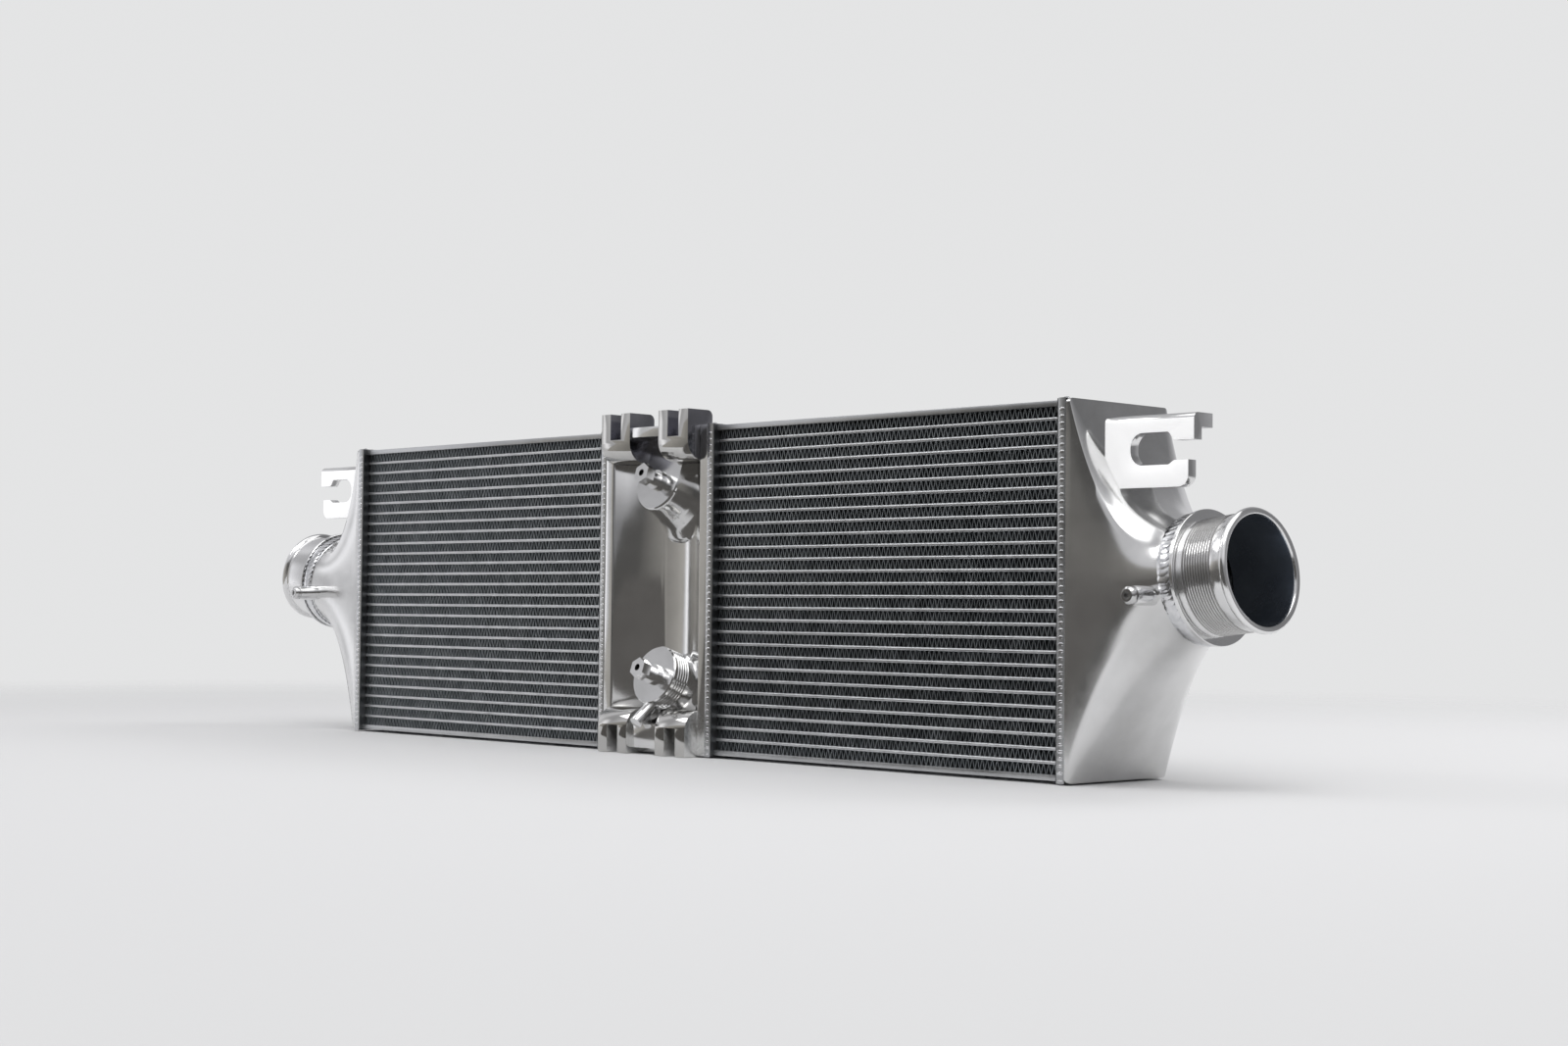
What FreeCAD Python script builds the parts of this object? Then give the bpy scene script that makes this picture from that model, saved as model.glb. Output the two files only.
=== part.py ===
import FreeCAD, Part
import Sketcher
import math
import os

# Twin-core air-to-air intercooler, millimetres.
# X runs along the cores, Y to the rear, Z up. The origin is the point below the middle of the
# centre tank, in the plane that the lower forks stand on. The right half is modelled and the
# left half is its mirror image in the plane X = 0.

doc = FreeCAD.newDocument("Intercooler")
sheet = doc.addObject("Spreadsheet::Sheet", "Sizes")

drivingSizes = (
    # tanks and cores
    ("standHeight", 1.2, "tanks above the plane the forks stand on"),
    ("tankHeight", 258.8, "height of all tanks and header plates"),
    ("tankDepth", 108, "front face to rear face of tanks and cores"),
    ("centreHalfWidth", 64.4, "middle of centre tank to its header joint"),
    ("headerThick", 4.1, "header plate"),
    ("coreLength", 342.8, "finned opening of one core"),
    ("coreInset", 1, "core stack below the tank top and above its bottom"),
    ("sidePlateThick", 4, "side plate above and below the core"),
    ("sidePlateRecess", 3, "side plate edge behind the tank face"),
    ("tubeCount", 26, "flat tubes in one core"),
    ("tubeThick", 2.7, "flat tube height"),
    ("tubeWall", 0.4, "flat tube wall"),
    ("tubeRecess", 6, "tube nose behind the tank face"),
    ("tubeProud", 1.5, "tube end standing out of the header plate"),
    ("finRecess", 1, "fin edge behind the tube nose"),
    # centre tank
    ("centreWall", 5, "wall of the centre tank"),
    ("topPlate", 8, "thickness of the centre tank top"),
    ("scoopRadius", 64, "concave front of the centre tank"),
    ("scoopAxisGap", 36, "scoop axis in front of the tank face"),
    ("scoopFloor", 22.8, "solid foot of the centre tank below the scoop"),
    ("topLip", 12, "top plate standing forward between the forks"),
    ("footLip", 10, "foot rail standing forward between the forks"),
    ("footLipRise", 3.8, "foot rail above the tank bottom"),
    # forks
    ("forkInner", 17.3, "middle plane to the inner side of a fork"),
    ("forkCheek", 11, "one leg of a fork"),
    ("forkSlot", 13, "slot of a fork"),
    ("forkReach", 13, "fork in front of the tank face"),
    ("forkLetIn", 13, "fork let into the tank behind its face"),
    ("forkShoulder", 16, "round shoulder at the closed end"),
    ("forkHeel", 5, "round rear corner at the free end"),
    ("upperForkRise", 12, "upper fork above the tank top"),
    ("upperForkHeight", 40, "upper fork, end to end"),
    ("lowerForkHeight", 36, "lower fork, end to end"),
    ("upperSlotDepth", 21, "slot of an upper fork from its free end"),
    ("lowerSlotDepth", 22, "slot of a lower fork from its free end"),
    # end tanks
    ("skirtLength", 6.6, "straight rim of an end tank"),
    ("rimRound", 3, "corner round of the rim"),
    ("innerRimRound", 1, "corner round inside the rim"),
    ("castWall", 4, "wall of an end tank"),
    ("rootOut", 79.6, "header joint to the middle of the neck root"),
    ("rootForward", 11.6, "neck root in front of the middle plane"),
    ("rootHeight", 137.5, "neck root above the standing plane"),
    ("rootRadius", 42.5, "round root of an end tank"),
    ("rootLength", 3, "straight land at the root"),
    ("waistHalfDepth", 54, "half depth of the waist that draws the bell in"),
    ("waistHalfHeight", 58.5, "half height of the waist"),
    ("waistLength", 45, "waist before the root"),
    ("flatAngle", 28, "half of the arc that each flat wall runs into"),
    ("neckRise", 7.1, "neck turned up, degrees"),
    ("neckSwing", 1.7, "neck turned forward, degrees"),
    # hose necks
    ("weldRingLength", 10, "neck weld from the root to the collar"),
    ("weldRingOverlap", 2, "neck weld reaching back over the root"),
    ("weldRingCrown", 2.4, "neck weld above the root"),
    ("collarRadius", 45.5, "collar of a neck"),
    ("collarThick", 3, "collar along the neck"),
    ("hoseRadius", 39, "outside of the hose seat"),
    ("hoseLength", 33, "hose seat from the collar to the lip"),
    ("lipRadius", 41.4, "rolled lip"),
    ("lipLength", 4.7, "rolled lip along the neck"),
    ("boreRadius", 36, "bore of a neck"),
    ("outletHeight", 130, "rear outlet above the standing plane"),
    # weld beads of the header joints
    ("beadWidth", 7.5, "weld bead along the tank"),
    ("beadRise", 1.2, "weld bead above the tank face"),
    ("beadBevel", 0.9, "slope at each side of the bead"),
    # port bosses and fittings
    ("upperPortDrop", 42.2, "face of the upper boss below the tank top"),
    ("upperPortOut", -2.3, "face of the upper boss in front of the tank face"),
    ("upperPortTilt", 18, "upper boss turned up, degrees"),
    ("upperPortRadius", 24.5, "face of the upper boss"),
    ("upperSkirtRadius", 39, "upper boss where it meets the scoop"),
    ("upperSkirtDepth", 38, "face of the upper boss to the end of its skirt"),
    ("lowerPortHeight", 63, "face of the lower boss above the standing plane"),
    ("lowerPortOut", -0.5, "face of the lower boss in front of the tank face"),
    ("lowerPortTilt", 19, "lower boss turned up, degrees"),
    ("lowerPortRadius", 24, "face of the lower boss"),
    ("lowerPortBarrel", 19, "straight barrel of the lower boss"),
    ("lowerSkirtRadius", 32, "lower boss where it meets the scoop"),
    ("lowerSkirtDepth", 30, "face of the lower boss to the end of its skirt"),
    ("ringCount", 5, "grooves round the lower boss"),
    ("ringPitch", 2.6, "groove to groove"),
    ("ringDepth", 0.9, "depth of a groove"),
    ("ringStart", 3, "first groove behind the face of the boss"),
    ("skirtTail", 12, "skirt of a boss carried on behind the scoop wall"),
    ("portRim", 1, "broken edge of a boss face"),
    ("fittingFlange", 8.2, "flange radius of a fitting"),
    ("fittingFlangeThick", 3, "flange of a fitting"),
    ("fittingStem", 5.2, "stem radius of a fitting"),
    ("fittingStemLength", 7.5, "stem of a fitting"),
    ("fittingHexagon", 14.5, "across the flats of a fitting"),
    ("fittingHexagonLength", 8, "hexagon of a fitting"),
    ("fittingBore", 2.75, "bore radius of a fitting"),
    ("drainRadius", 5.2, "drain stub"),
    ("drainLength", 29, "drain stub from inside the boss to its end"),
    ("drainSlope", 41, "drain stub below level, degrees"),
    ("drainBack", 4, "start of the drain stub behind the tank face"),
    ("drainDrop", 19, "start of the drain stub below the boss face"),
    # hook brackets
    ("bracketForward", 35.4, "bracket face in front of the middle plane"),
    ("bracketThick", 8.5, "bracket plate"),
    ("bracketReach", 94.6, "tip of the upper prong from the header joint"),
    ("bracketShort", 4.5, "lower prong shorter than the upper one"),
    ("bracketDrop", 13, "bracket top below the tank top"),
    ("bracketHeight", 48.5, "bracket plate"),
    ("bracketRoot", 21.3, "plate behind the closed end of its slot"),
    ("bracketTopRound", 4.5, "round front edge along the top of the plate"),
    ("hookLength", 31, "wide part of the hook slot"),
    ("hookRise", 14.8, "hook slot above the bottom of the plate"),
    ("hookHeight", 21.6, "hook slot"),
    ("hookRound", 9.8, "corners of the closed end"),
    ("mouthLength", 15.9, "hook mouth"),
    ("mouthSlope", 4.5, "slope from the slot to its mouth"),
    ("mouthRise", 17.6, "hook mouth above the bottom of the plate"),
    ("mouthHeight", 13, "hook mouth"),
    ("mouthRound", 3, "rounds where the slot narrows to its mouth"),
    ("prongRound", 8, "round lower corner of the lower prong"),
    ("lugLength", 12, "lug behind the upper prong"),
    ("lugHeight", 9.5, "lug behind the upper prong"),
    ("lugWidth", 12, "lug along the prong"),
    ("footDepth", 24, "web from the bracket back to the tank"),
    ("footThick", 9, "web of the bracket"),
    ("footRise", 2.5, "web above the bottom of the plate"),
    ("footLength", 32, "web along the plate"),
    # screw bosses
    ("screwOut", 73.1, "screw axis from the header joint"),
    ("screwDrop", 10.5, "screw axis below the middle of the neck root"),
    ("screwBossRadius", 6.5, "screw boss"),
    ("screwBossReach", 19, "screw boss in front of the tank face"),
    ("screwBossRoot", 14, "screw boss starts behind the tank face"),
    ("screwHeadRadius", 5.8, "screw head"),
    ("screwHeadHeight", 5, "screw head"),
    ("screwSocket", 4, "across the flats of the socket"),
    ("screwSocketDepth", 2.6, "socket of the screw"),
    ("screwShank", 3, "screw shank radius"),
    ("screwShankLength", 12, "screw shank in its boss"),
)

for row, (alias, value, note) in enumerate(drivingSizes, start=1):
    sheet.set(f"A{row}", note)
    sheet.set(f"B{row}", str(value))
    sheet.setAlias(f"B{row}", alias)
doc.recompute()

parts = {}
originPlanes = {"XY": "XY_Plane", "XZ": "XZ_Plane", "YZ": "YZ_Plane"}


def size(alias):
    """Value of one driving size."""
    return float(getattr(sheet, alias))


def rule(text):
    """Expression with each word that is a driving size bound to the sheet."""
    words = {alias for alias, _, _ in drivingSizes}
    out = ""
    word = ""
    for letter in text + " ":
        if letter.isalnum():
            word += letter
            continue
        out += "Sizes." + word if word in words else word
        out += letter
        word = ""
    return out.strip()


def bind(item, **rules):
    """Bind properties; a double underscore in a name stands for a dot."""
    for name, text in rules.items():
        item.setExpression(name.replace("__", "."), rule(str(text)))


def keep(name, item):
    """Register a finished sub-part."""
    item.Label = name
    parts[name] = item
    return item


def at(item, x, y, z):
    bind(item, Placement__Base__x=x, Placement__Base__y=y, Placement__Base__z=z)
    return item


def block(name, low, high):
    """Box between two corners, given as expressions."""
    item = doc.addObject("Part::Box", name)
    lengths = [f"({b}) - ({a})" for a, b in zip(low, high)]
    bind(item, Length=lengths[0], Width=lengths[1], Height=lengths[2])
    return at(item, *low)


def cylinder(name, radius, height, x, y, z):
    item = doc.addObject("Part::Cylinder", name)
    bind(item, Radius=radius, Height=height)
    return at(item, x, y, z)


def cut(name, base, tool):
    item = doc.addObject("Part::Cut", name)
    item.Base = base
    item.Tool = tool
    return item


def fuse(name, *shapes):
    item = doc.addObject("Part::MultiFuse", name)
    item.Shapes = list(shapes)
    item.Refine = True
    return item


def mirrored(name, source):
    """Mirror image in the middle plane."""
    item = doc.addObject("Part::Mirroring", name + "Mirror")
    item.Source = source
    item.Normal = FreeCAD.Vector(1, 0, 0)
    return keep(name, item)


def newBody(name):
    return doc.addObject("PartDesign::Body", name)


def loopSketch(body, name, plane, *loops, offset=None):
    """Closed loops of straight lines; each corner is placed by two named distances."""
    sketch = body.newObject("Sketcher::SketchObject", name)
    role = originPlanes[plane]
    support = [f for f in body.Origin.OriginFeatures if f.Role == role][0]
    sketch.AttachmentSupport = [(support, "")]
    sketch.MapMode = "FlatFace"
    if offset is not None:
        bind(sketch, AttachmentOffset__Base__z=offset)
    for number, loop in enumerate(loops):
        count = len(loop)
        first = sketch.GeometryCount
        turns = [2 * math.pi * k / count for k in range(count)]
        starts = [FreeCAD.Vector(10 * math.cos(a), 10 * math.sin(a), 0) for a in turns]
        for k in range(count):
            sketch.addGeometry(Part.LineSegment(starts[k], starts[(k + 1) % count]), False)
        for k in range(count):
            joint = (first + k, 2, first + (k + 1) % count, 1)
            sketch.addConstraint(Sketcher.Constraint("Coincident", *joint))
        for k, (across, up) in enumerate(loop):
            for kind, text, start in (("X", across, starts[k].x), ("Y", up, starts[k].y)):
                made = Sketcher.Constraint("Distance" + kind, -1, 1, first + k, 1, start)
                index = sketch.addConstraint(made)
                label = f"loop{number}corner{k}{kind}"
                sketch.renameConstraint(index, label)
                sketch.setExpression("Constraints." + label, rule(text))
    return sketch


def pad(body, sketch, length, middle=False):
    item = body.newObject("PartDesign::Pad", sketch.Name + "Pad")
    item.Profile = sketch
    item.Midplane = middle
    bind(item, Length=length)
    return item


def rectangle(left, bottom, right, top):
    return [(left, bottom), (right, bottom), (right, top), (left, top)]


def edgesWhere(feature, test):
    """Names of a feature's edges whose middle point passes a test."""
    names = []
    for number, edge in enumerate(feature.Shape.Edges, start=1):
        if test(edge.CenterOfMass, edge):
            names.append(f"Edge{number}")
    return names


def rounded(body, feature, name, radius, test, kind="Fillet"):
    doc.recompute()
    item = body.newObject("PartDesign::" + kind, name)
    item.Base = (feature, edgesWhere(feature, test))
    bind(item, **({"Radius": radius} if kind == "Fillet" else {"Size": radius}))
    return item


def turned(name, profile):
    """Body turned about its own Z from (radius, height) corners."""
    body = newBody(name)
    sketch = loopSketch(body, name + "Profile", "XZ", profile)
    item = body.newObject("PartDesign::Revolution", name + "Turn")
    item.Profile = sketch
    item.ReferenceAxis = (sketch, ["V_Axis"])
    item.Angle = 360
    return body


def pointAlong(body, direction, x, y, z):
    """Place a turned body with its Z along a direction."""
    turn = FreeCAD.Rotation(FreeCAD.Vector(0, 0, 1), direction)
    body.Placement = FreeCAD.Placement(FreeCAD.Vector(), turn)
    return at(body, x, y, z)


# Places that several pieces share
tankTop = "(standHeight + tankHeight)"
frontFace = "(-tankDepth / 2)"
rearFace = "(tankDepth / 2)"
coreBottom = "(standHeight + coreInset)"
coreTop = "(standHeight + tankHeight - coreInset)"
stackBottom = f"({coreBottom} + sidePlateThick)"
stackHeight = "(tankHeight - 2 * coreInset - 2 * sidePlateThick)"
finHeight = f"(({stackHeight} - tubeCount * tubeThick) / (tubeCount + 1))"
rowPitch = f"({finHeight} + tubeThick)"
coreStart = "(centreHalfWidth + headerThick)"
coreEnd = f"({coreStart} + coreLength)"
endJoint = f"({coreEnd} + headerThick)"


def stackedRows(name, loops, start, length, count):
    """One row padded along X and repeated up the core at the row pitch."""
    body = newBody(name)
    body.AllowCompound = True
    sketch = loopSketch(body, name + "Row", "YZ", *loops, offset=start)
    first = pad(body, sketch, length)
    rows = body.newObject("PartDesign::LinearPattern", name + "Rows")
    rows.Originals = [first]
    rows.Direction = (sketch, ["V_Axis"])
    bind(rows, Length=f"{rowPitch} * ({count} - 1)", Occurrences=count)
    body.Tip = rows
    return body


def coreTubes():
    top = f"{stackBottom} + {rowPitch}"
    bottom = f"{stackBottom} + {finHeight}"
    front = f"{frontFace} + tubeRecess"
    rear = f"{rearFace} - tubeRecess"
    outer = rectangle(front, bottom, rear, top)
    inner = rectangle(f"{front} + tubeWall", f"{bottom} + tubeWall",
                      f"{rear} - tubeWall", f"{top} - tubeWall")
    start = "centreHalfWidth - tubeProud"
    length = "coreLength + 2 * headerThick + 2 * tubeProud"
    return stackedRows("CoreTubes", [outer, inner], start, length, "tubeCount")


def coreFins():
    front = f"{frontFace} + tubeRecess + finRecess"
    rear = f"{rearFace} - tubeRecess - finRecess"
    outer = rectangle(front, stackBottom, rear, f"{stackBottom} + {finHeight}")
    return stackedRows("CoreFins", [outer], coreStart, "coreLength", "tubeCount + 1")


def sidePlate(name, bottom):
    front = f"{frontFace} + sidePlateRecess"
    rear = f"{rearFace} - sidePlateRecess"
    return block(name, (coreStart, front, bottom), (coreEnd, rear, f"{bottom} + sidePlateThick"))


def headerPlate(name, start):
    """Plate with a slot for each tube."""
    body = newBody(name)
    outline = rectangle(frontFace, "standHeight", rearFace, tankTop)
    plate = pad(body, loopSketch(body, name + "Outline", "YZ", outline, offset=start), "headerThick")
    front = f"{frontFace} + tubeRecess"
    rear = f"{rearFace} - tubeRecess"
    slot = rectangle(front, f"{stackBottom} + {finHeight}", rear, f"{stackBottom} + {rowPitch}")
    sketch = loopSketch(body, name + "Slot", "YZ", slot, offset=start)
    pocket = body.newObject("PartDesign::Pocket", name + "Pocket")
    pocket.Profile = sketch
    pocket.Reversed = True
    bind(pocket, Length="headerThick")
    rows = body.newObject("PartDesign::LinearPattern", name + "Rows")
    rows.Originals = [pocket]
    rows.Direction = (sketch, ["V_Axis"])
    bind(rows, Length=f"{rowPitch} * (tubeCount - 1)", Occurrences="tubeCount")
    body.Tip = rows
    return body


def jointBead(name, middle):
    """Weld bead round all four sides of a header joint."""
    body = newBody(name)
    outer = rectangle(f"{frontFace} - beadRise", "standHeight - beadRise",
                      f"{rearFace} + beadRise", f"{tankTop} + beadRise")
    inner = rectangle(frontFace, "standHeight", rearFace, tankTop)
    sketch = loopSketch(body, name + "Ring", "YZ", outer, inner, offset=middle)
    ring = pad(body, sketch, "beadWidth", middle=True)
    half = size("tankDepth") / 2
    low = size("standHeight")
    high = low + size("tankHeight")

    def outerRim(point, edge):
        side = abs(edge.tangentAt(edge.FirstParameter).x) < 0.5
        outside = abs(point.y) > half + 0.01 or point.z < low - 0.01 or point.z > high + 0.01
        return side and outside

    rounded(body, ring, name + "Slope", "beadBevel", outerRim, kind="Chamfer")
    return body


keep("right_core_tubes", coreTubes())
keep("right_core_fins", coreFins())
keep("right_core_bottom_plate", sidePlate("BottomPlate", coreBottom))
keep("right_core_top_plate", sidePlate("TopPlate", f"{coreTop} - sidePlateThick"))
keep("right_inner_header", headerPlate("InnerHeader", "centreHalfWidth"))
keep("right_outer_header", headerPlate("OuterHeader", coreEnd))
keep("right_inner_weld", jointBead("InnerWeld", "centreHalfWidth"))
keep("right_outer_weld", jointBead("OuterWeld", endJoint))

# Forks: a block with a round shoulder at its closed end and a slot from its free end
forkOuter = "(forkInner + 2 * forkCheek + forkSlot)"
forkFront = f"({frontFace} - forkReach)"
forkRear = f"({frontFace} + forkLetIn)"
scoopAxis = f"({frontFace} - scoopAxisGap)"
scoopBottom = "(standHeight + scoopFloor)"
scoopTop = f"({tankTop} - topPlate)"
scoopBack = f"({scoopAxis} + scoopRadius)"


def forkBlock(name, profile, isShoulder, isHeel):
    body = newBody(name)
    sketch = loopSketch(body, name + "Side", "YZ", profile, offset="forkInner")
    item = pad(body, sketch, "2 * forkCheek + forkSlot")
    item = rounded(body, item, name + "Shoulder", "forkShoulder", isShoulder)
    rounded(body, item, name + "Heel", "forkHeel", isHeel)
    return body


def along(edge):
    return abs(edge.tangentAt(edge.FirstParameter).x) > 0.9


frontOfFork = -size("tankDepth") / 2 - size("forkReach")
rearOfFork = -size("tankDepth") / 2 + size("forkLetIn")
upperForkTop = size("standHeight") + size("tankHeight") + size("upperForkRise")
upperForkFoot = upperForkTop - size("upperForkHeight")


def near(value, target):
    return abs(value - target) < 0.01


def upperFork():
    top = f"({tankTop} + upperForkRise)"
    foot = f"({top} - upperForkHeight)"
    profile = [(forkFront, foot), (scoopBack, foot), (scoopBack, scoopTop),
               (forkRear, scoopTop), (forkRear, top), (forkFront, top)]
    body = forkBlock("UpperFork", profile,
                     lambda p, e: along(e) and near(p.y, frontOfFork) and near(p.z, upperForkFoot),
                     lambda p, e: along(e) and near(p.y, rearOfFork) and near(p.z, upperForkTop))
    slot = block("UpperForkSlot", ("forkInner + forkCheek", f"{forkFront} - 1", f"{top} - upperSlotDepth"),
                 (f"{forkOuter} - forkCheek", f"{forkRear} + 1", f"{top} + 1"))
    return body, slot


def lowerFork():
    profile = [(forkFront, "0"), (forkRear, "0"), (forkRear, scoopBottom),
               (scoopBack, scoopBottom), (scoopBack, "lowerForkHeight"), (forkFront, "lowerForkHeight")]
    crown = size("lowerForkHeight")
    body = forkBlock("LowerFork", profile,
                     lambda p, e: along(e) and near(p.y, frontOfFork) and near(p.z, crown),
                     lambda p, e: along(e) and near(p.y, rearOfFork) and near(p.z, 0))
    slot = block("LowerForkSlot", ("forkInner + forkCheek", f"{forkFront} - 1", "-1"),
                 (f"{forkOuter} - forkCheek", f"{forkRear} + 1", "lowerSlotDepth"))
    return body, slot


upperForkBody, upperSlot = upperFork()
lowerForkBody, lowerSlot = lowerFork()
rightForks = fuse("RightForks", upperForkBody, lowerForkBody)
leftForks = doc.addObject("Part::Mirroring", "LeftForks")
leftForks.Source = rightForks
leftForks.Normal = FreeCAD.Vector(1, 0, 0)
allForks = fuse("AllForks", rightForks, leftForks)

# Centre tank: hollow block, concave front, lips between the forks, round rear outlet
tankBlock = block("TankBlock", ("-centreHalfWidth", frontFace, "standHeight"),
                  ("centreHalfWidth", rearFace, tankTop))
scoopTool = cylinder("ScoopTool", "scoopRadius", f"{scoopTop} - {scoopBottom}",
                     "0", scoopAxis, scoopBottom)
scoopedBlock = cut("ScoopedBlock", tankBlock, scoopTool)
topLipBlock = block("TopLip", ("-forkInner", f"{frontFace} - topLip", scoopTop),
                    ("forkInner", f"{frontFace} + 1", tankTop))
footLipBlock = block("FootLip", ("-forkInner", f"{frontFace} - footLip", "standHeight + footLipRise"),
                     ("forkInner", f"{frontFace} + 1", scoopBottom))
cavityBlock = block("CavityBlock",
                    ("-centreHalfWidth", f"{frontFace} + centreWall", "standHeight + centreWall"),
                    ("centreHalfWidth", f"{rearFace} - centreWall", scoopTop))
scoopBacking = cylinder("ScoopBacking", "scoopRadius + centreWall", "tankHeight",
                        "0", scoopAxis, "standHeight")
cavity = cut("Cavity", cavityBlock, scoopBacking)


def rearward(name, radius, start, end):
    """Cylinder pointing to the rear at the outlet."""
    item = doc.addObject("Part::Cylinder", name)
    bind(item, Radius=radius, Height=f"({end}) - ({start})")
    item.Placement = FreeCAD.Placement(FreeCAD.Vector(), FreeCAD.Rotation(FreeCAD.Vector(1, 0, 0), -90))
    return at(item, "0", start, "outletHeight")


outletRoot = rearward("OutletRoot", "rootRadius", f"{rearFace} - 1", f"{rearFace} + rootLength")
outletBore = rearward("OutletBore", "boreRadius", f"{rearFace} - centreWall - 1",
                      f"{rearFace} + rootLength + 1")
centreSolid = fuse("CentreSolid", scoopedBlock, topLipBlock, footLipBlock, outletRoot)
centreHollow = cut("CentreHollow", centreSolid, fuse("CentreVoid", cavity, outletBore, allForks))
keep("centre_tank", centreHollow)


def finishedFork(name, body, slot):
    trimmed = cut(name + "Trimmed", body, scoopedForTrim)
    return cut(name + "Slotted", trimmed, slot)


# The part of the tank behind the scoop trims the pieces that stand on it
scoopWall = block("ScoopWall", ("-centreHalfWidth", frontFace, scoopBottom),
                  ("centreHalfWidth", rearFace, scoopTop))
scoopedForTrim = cut("ScoopedForTrim", scoopWall, scoopTool)
keep("upper_right_fork", finishedFork("UpperForkRight", upperForkBody, upperSlot))
keep("lower_right_fork", finishedFork("LowerForkRight", lowerForkBody, lowerSlot))
mirrored("upper_left_fork", parts["upper_right_fork"])
mirrored("lower_left_fork", parts["lower_right_fork"])


def tiltedUp(degrees):
    """Direction of a boss that looks forward and is turned up."""
    angle = math.radians(degrees)
    return FreeCAD.Vector(0, -math.cos(angle), math.sin(angle))


# Port bosses: turned, trimmed by the scoop wall and the forks
upperPortHeight = f"({tankTop} - upperPortDrop)"


def upperPortBoss():
    radius = "upperPortRadius"
    skirt = "upperSkirtRadius"
    depth = "upperSkirtDepth"
    rise = f"({skirt} - {radius})"
    profile = [("0", "0"), (f"{radius} - portRim", "0"), (radius, "-portRim"),
               (f"{radius} + 0.05 * {rise}", f"-0.25 * {depth}"),
               (f"{radius} + 0.2 * {rise}", f"-0.5 * {depth}"),
               (f"{radius} + 0.5 * {rise}", f"-0.76 * {depth}"), (skirt, f"-{depth}"),
               (skirt, f"-{depth} - skirtTail"), ("0", f"-{depth} - skirtTail")]
    body = turned("UpperBossTurned", profile)
    facing = tiltedUp(size("upperPortTilt"))
    placeY = f"{frontFace} - upperPortOut"
    pointAlong(body, facing, "0", placeY, upperPortHeight)
    tongue = doc.addObject("Part::Box", "UpperTongue")
    bind(tongue, Length="2 * upperPortRadius", Width="upperSkirtDepth", Height="upperPortDrop")
    turn = FreeCAD.Rotation(FreeCAD.Vector(1, 0, 0), -size("upperPortTilt"))
    tongue.Placement = FreeCAD.Placement(FreeCAD.Vector(), turn)
    at(tongue, "-upperPortRadius", placeY, upperPortHeight)
    whole = fuse("UpperBossWhole", body, tongue)
    ceiling = block("UpperBossCeiling", ("-centreHalfWidth", f"{scoopAxis} - scoopRadius", scoopTop),
                    ("centreHalfWidth", rearFace, f"{tankTop} + tankHeight"))
    around = fuse("UpperBossAround", scoopedForTrim, allForks, ceiling)
    return cut("UpperBossCut", whole, around)


def lowerPortBoss():
    radius = "lowerPortRadius"
    barrel = "lowerPortBarrel"
    skirt = "lowerSkirtRadius"
    depth = "lowerSkirtDepth"
    profile = [("0", "0"), (f"{radius} - portRim", "0"), (radius, "-portRim")]
    for ring in range(int(size("ringCount"))):
        top = f"-(ringStart + {ring} * ringPitch)"
        profile += [(radius, top), (f"{radius} - ringDepth", f"{top} - 0.25 * ringPitch"),
                    (f"{radius} - ringDepth", f"{top} - 0.5 * ringPitch"), (radius, f"{top} - 0.75 * ringPitch")]
    profile += [(radius, f"-{barrel}"), (f"0.75 * {radius} + 0.25 * {skirt}", f"-({barrel} + {depth}) / 2"),
                (skirt, f"-{depth}"), (skirt, f"-{depth} - skirtTail"), ("0", f"-{depth} - skirtTail")]
    body = turned("LowerBossTurned", profile)
    facing = tiltedUp(size("lowerPortTilt"))
    pointAlong(body, facing, "0", f"{frontFace} - lowerPortOut", "lowerPortHeight")
    floor = block("LowerBossFloor", ("-centreHalfWidth", f"{scoopAxis} - scoopRadius", "-tankHeight"),
                  ("centreHalfWidth", rearFace, scoopBottom))
    around = fuse("LowerBossAround", scoopedForTrim, allForks, floor)
    return cut("LowerBossCut", body, around)


def portFitting(name, tilt, out, height):
    """Hexagon fitting with a flange on the boss face and a bore in its end."""
    stemEnd = "(fittingFlangeThick + fittingStemLength)"
    body = turned(name, [("0", "0"), ("fittingFlange", "0"), ("fittingFlange", "fittingFlangeThick"),
                         ("fittingStem", "fittingFlangeThick"), ("fittingStem", stemEnd), ("0", stemEnd)])
    half = "(fittingHexagon / 2)"
    corner = f"({half} / cos(30))"
    hexagon = [(half, f"-{corner} / 2"), (half, f"{corner} / 2"), ("0", corner),
               (f"-{half}", f"{corner} / 2"), (f"-{half}", f"-{corner} / 2"), ("0", f"-{corner}")]
    pad(body, loopSketch(body, name + "Hexagon", "XY", hexagon, offset=stemEnd), "fittingHexagonLength")
    pointAlong(body, tiltedUp(size(tilt)), "0", f"{frontFace} - {out}", height)
    bore = doc.addObject("Part::Cylinder", name + "Bore")
    bind(bore, Radius="fittingBore", Height="fittingHexagonLength + fittingStemLength")
    bore.Placement = body.Placement
    way = tiltedUp(size(tilt))
    at(bore, "0", f"{frontFace} - {out} + {way.y} * fittingFlangeThick * 1.5",
       f"{height} + {way.z} * fittingFlangeThick * 1.5")
    return cut(name + "Bored", body, bore)


keep("upper_port_boss", upperPortBoss())
lowerBoss = keep("lower_port_boss", lowerPortBoss())
keep("upper_port_fitting", portFitting("UpperFitting", "upperPortTilt", "upperPortOut", upperPortHeight))
keep("lower_port_fitting", portFitting("LowerFitting", "lowerPortTilt", "lowerPortOut", "lowerPortHeight"))


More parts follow.
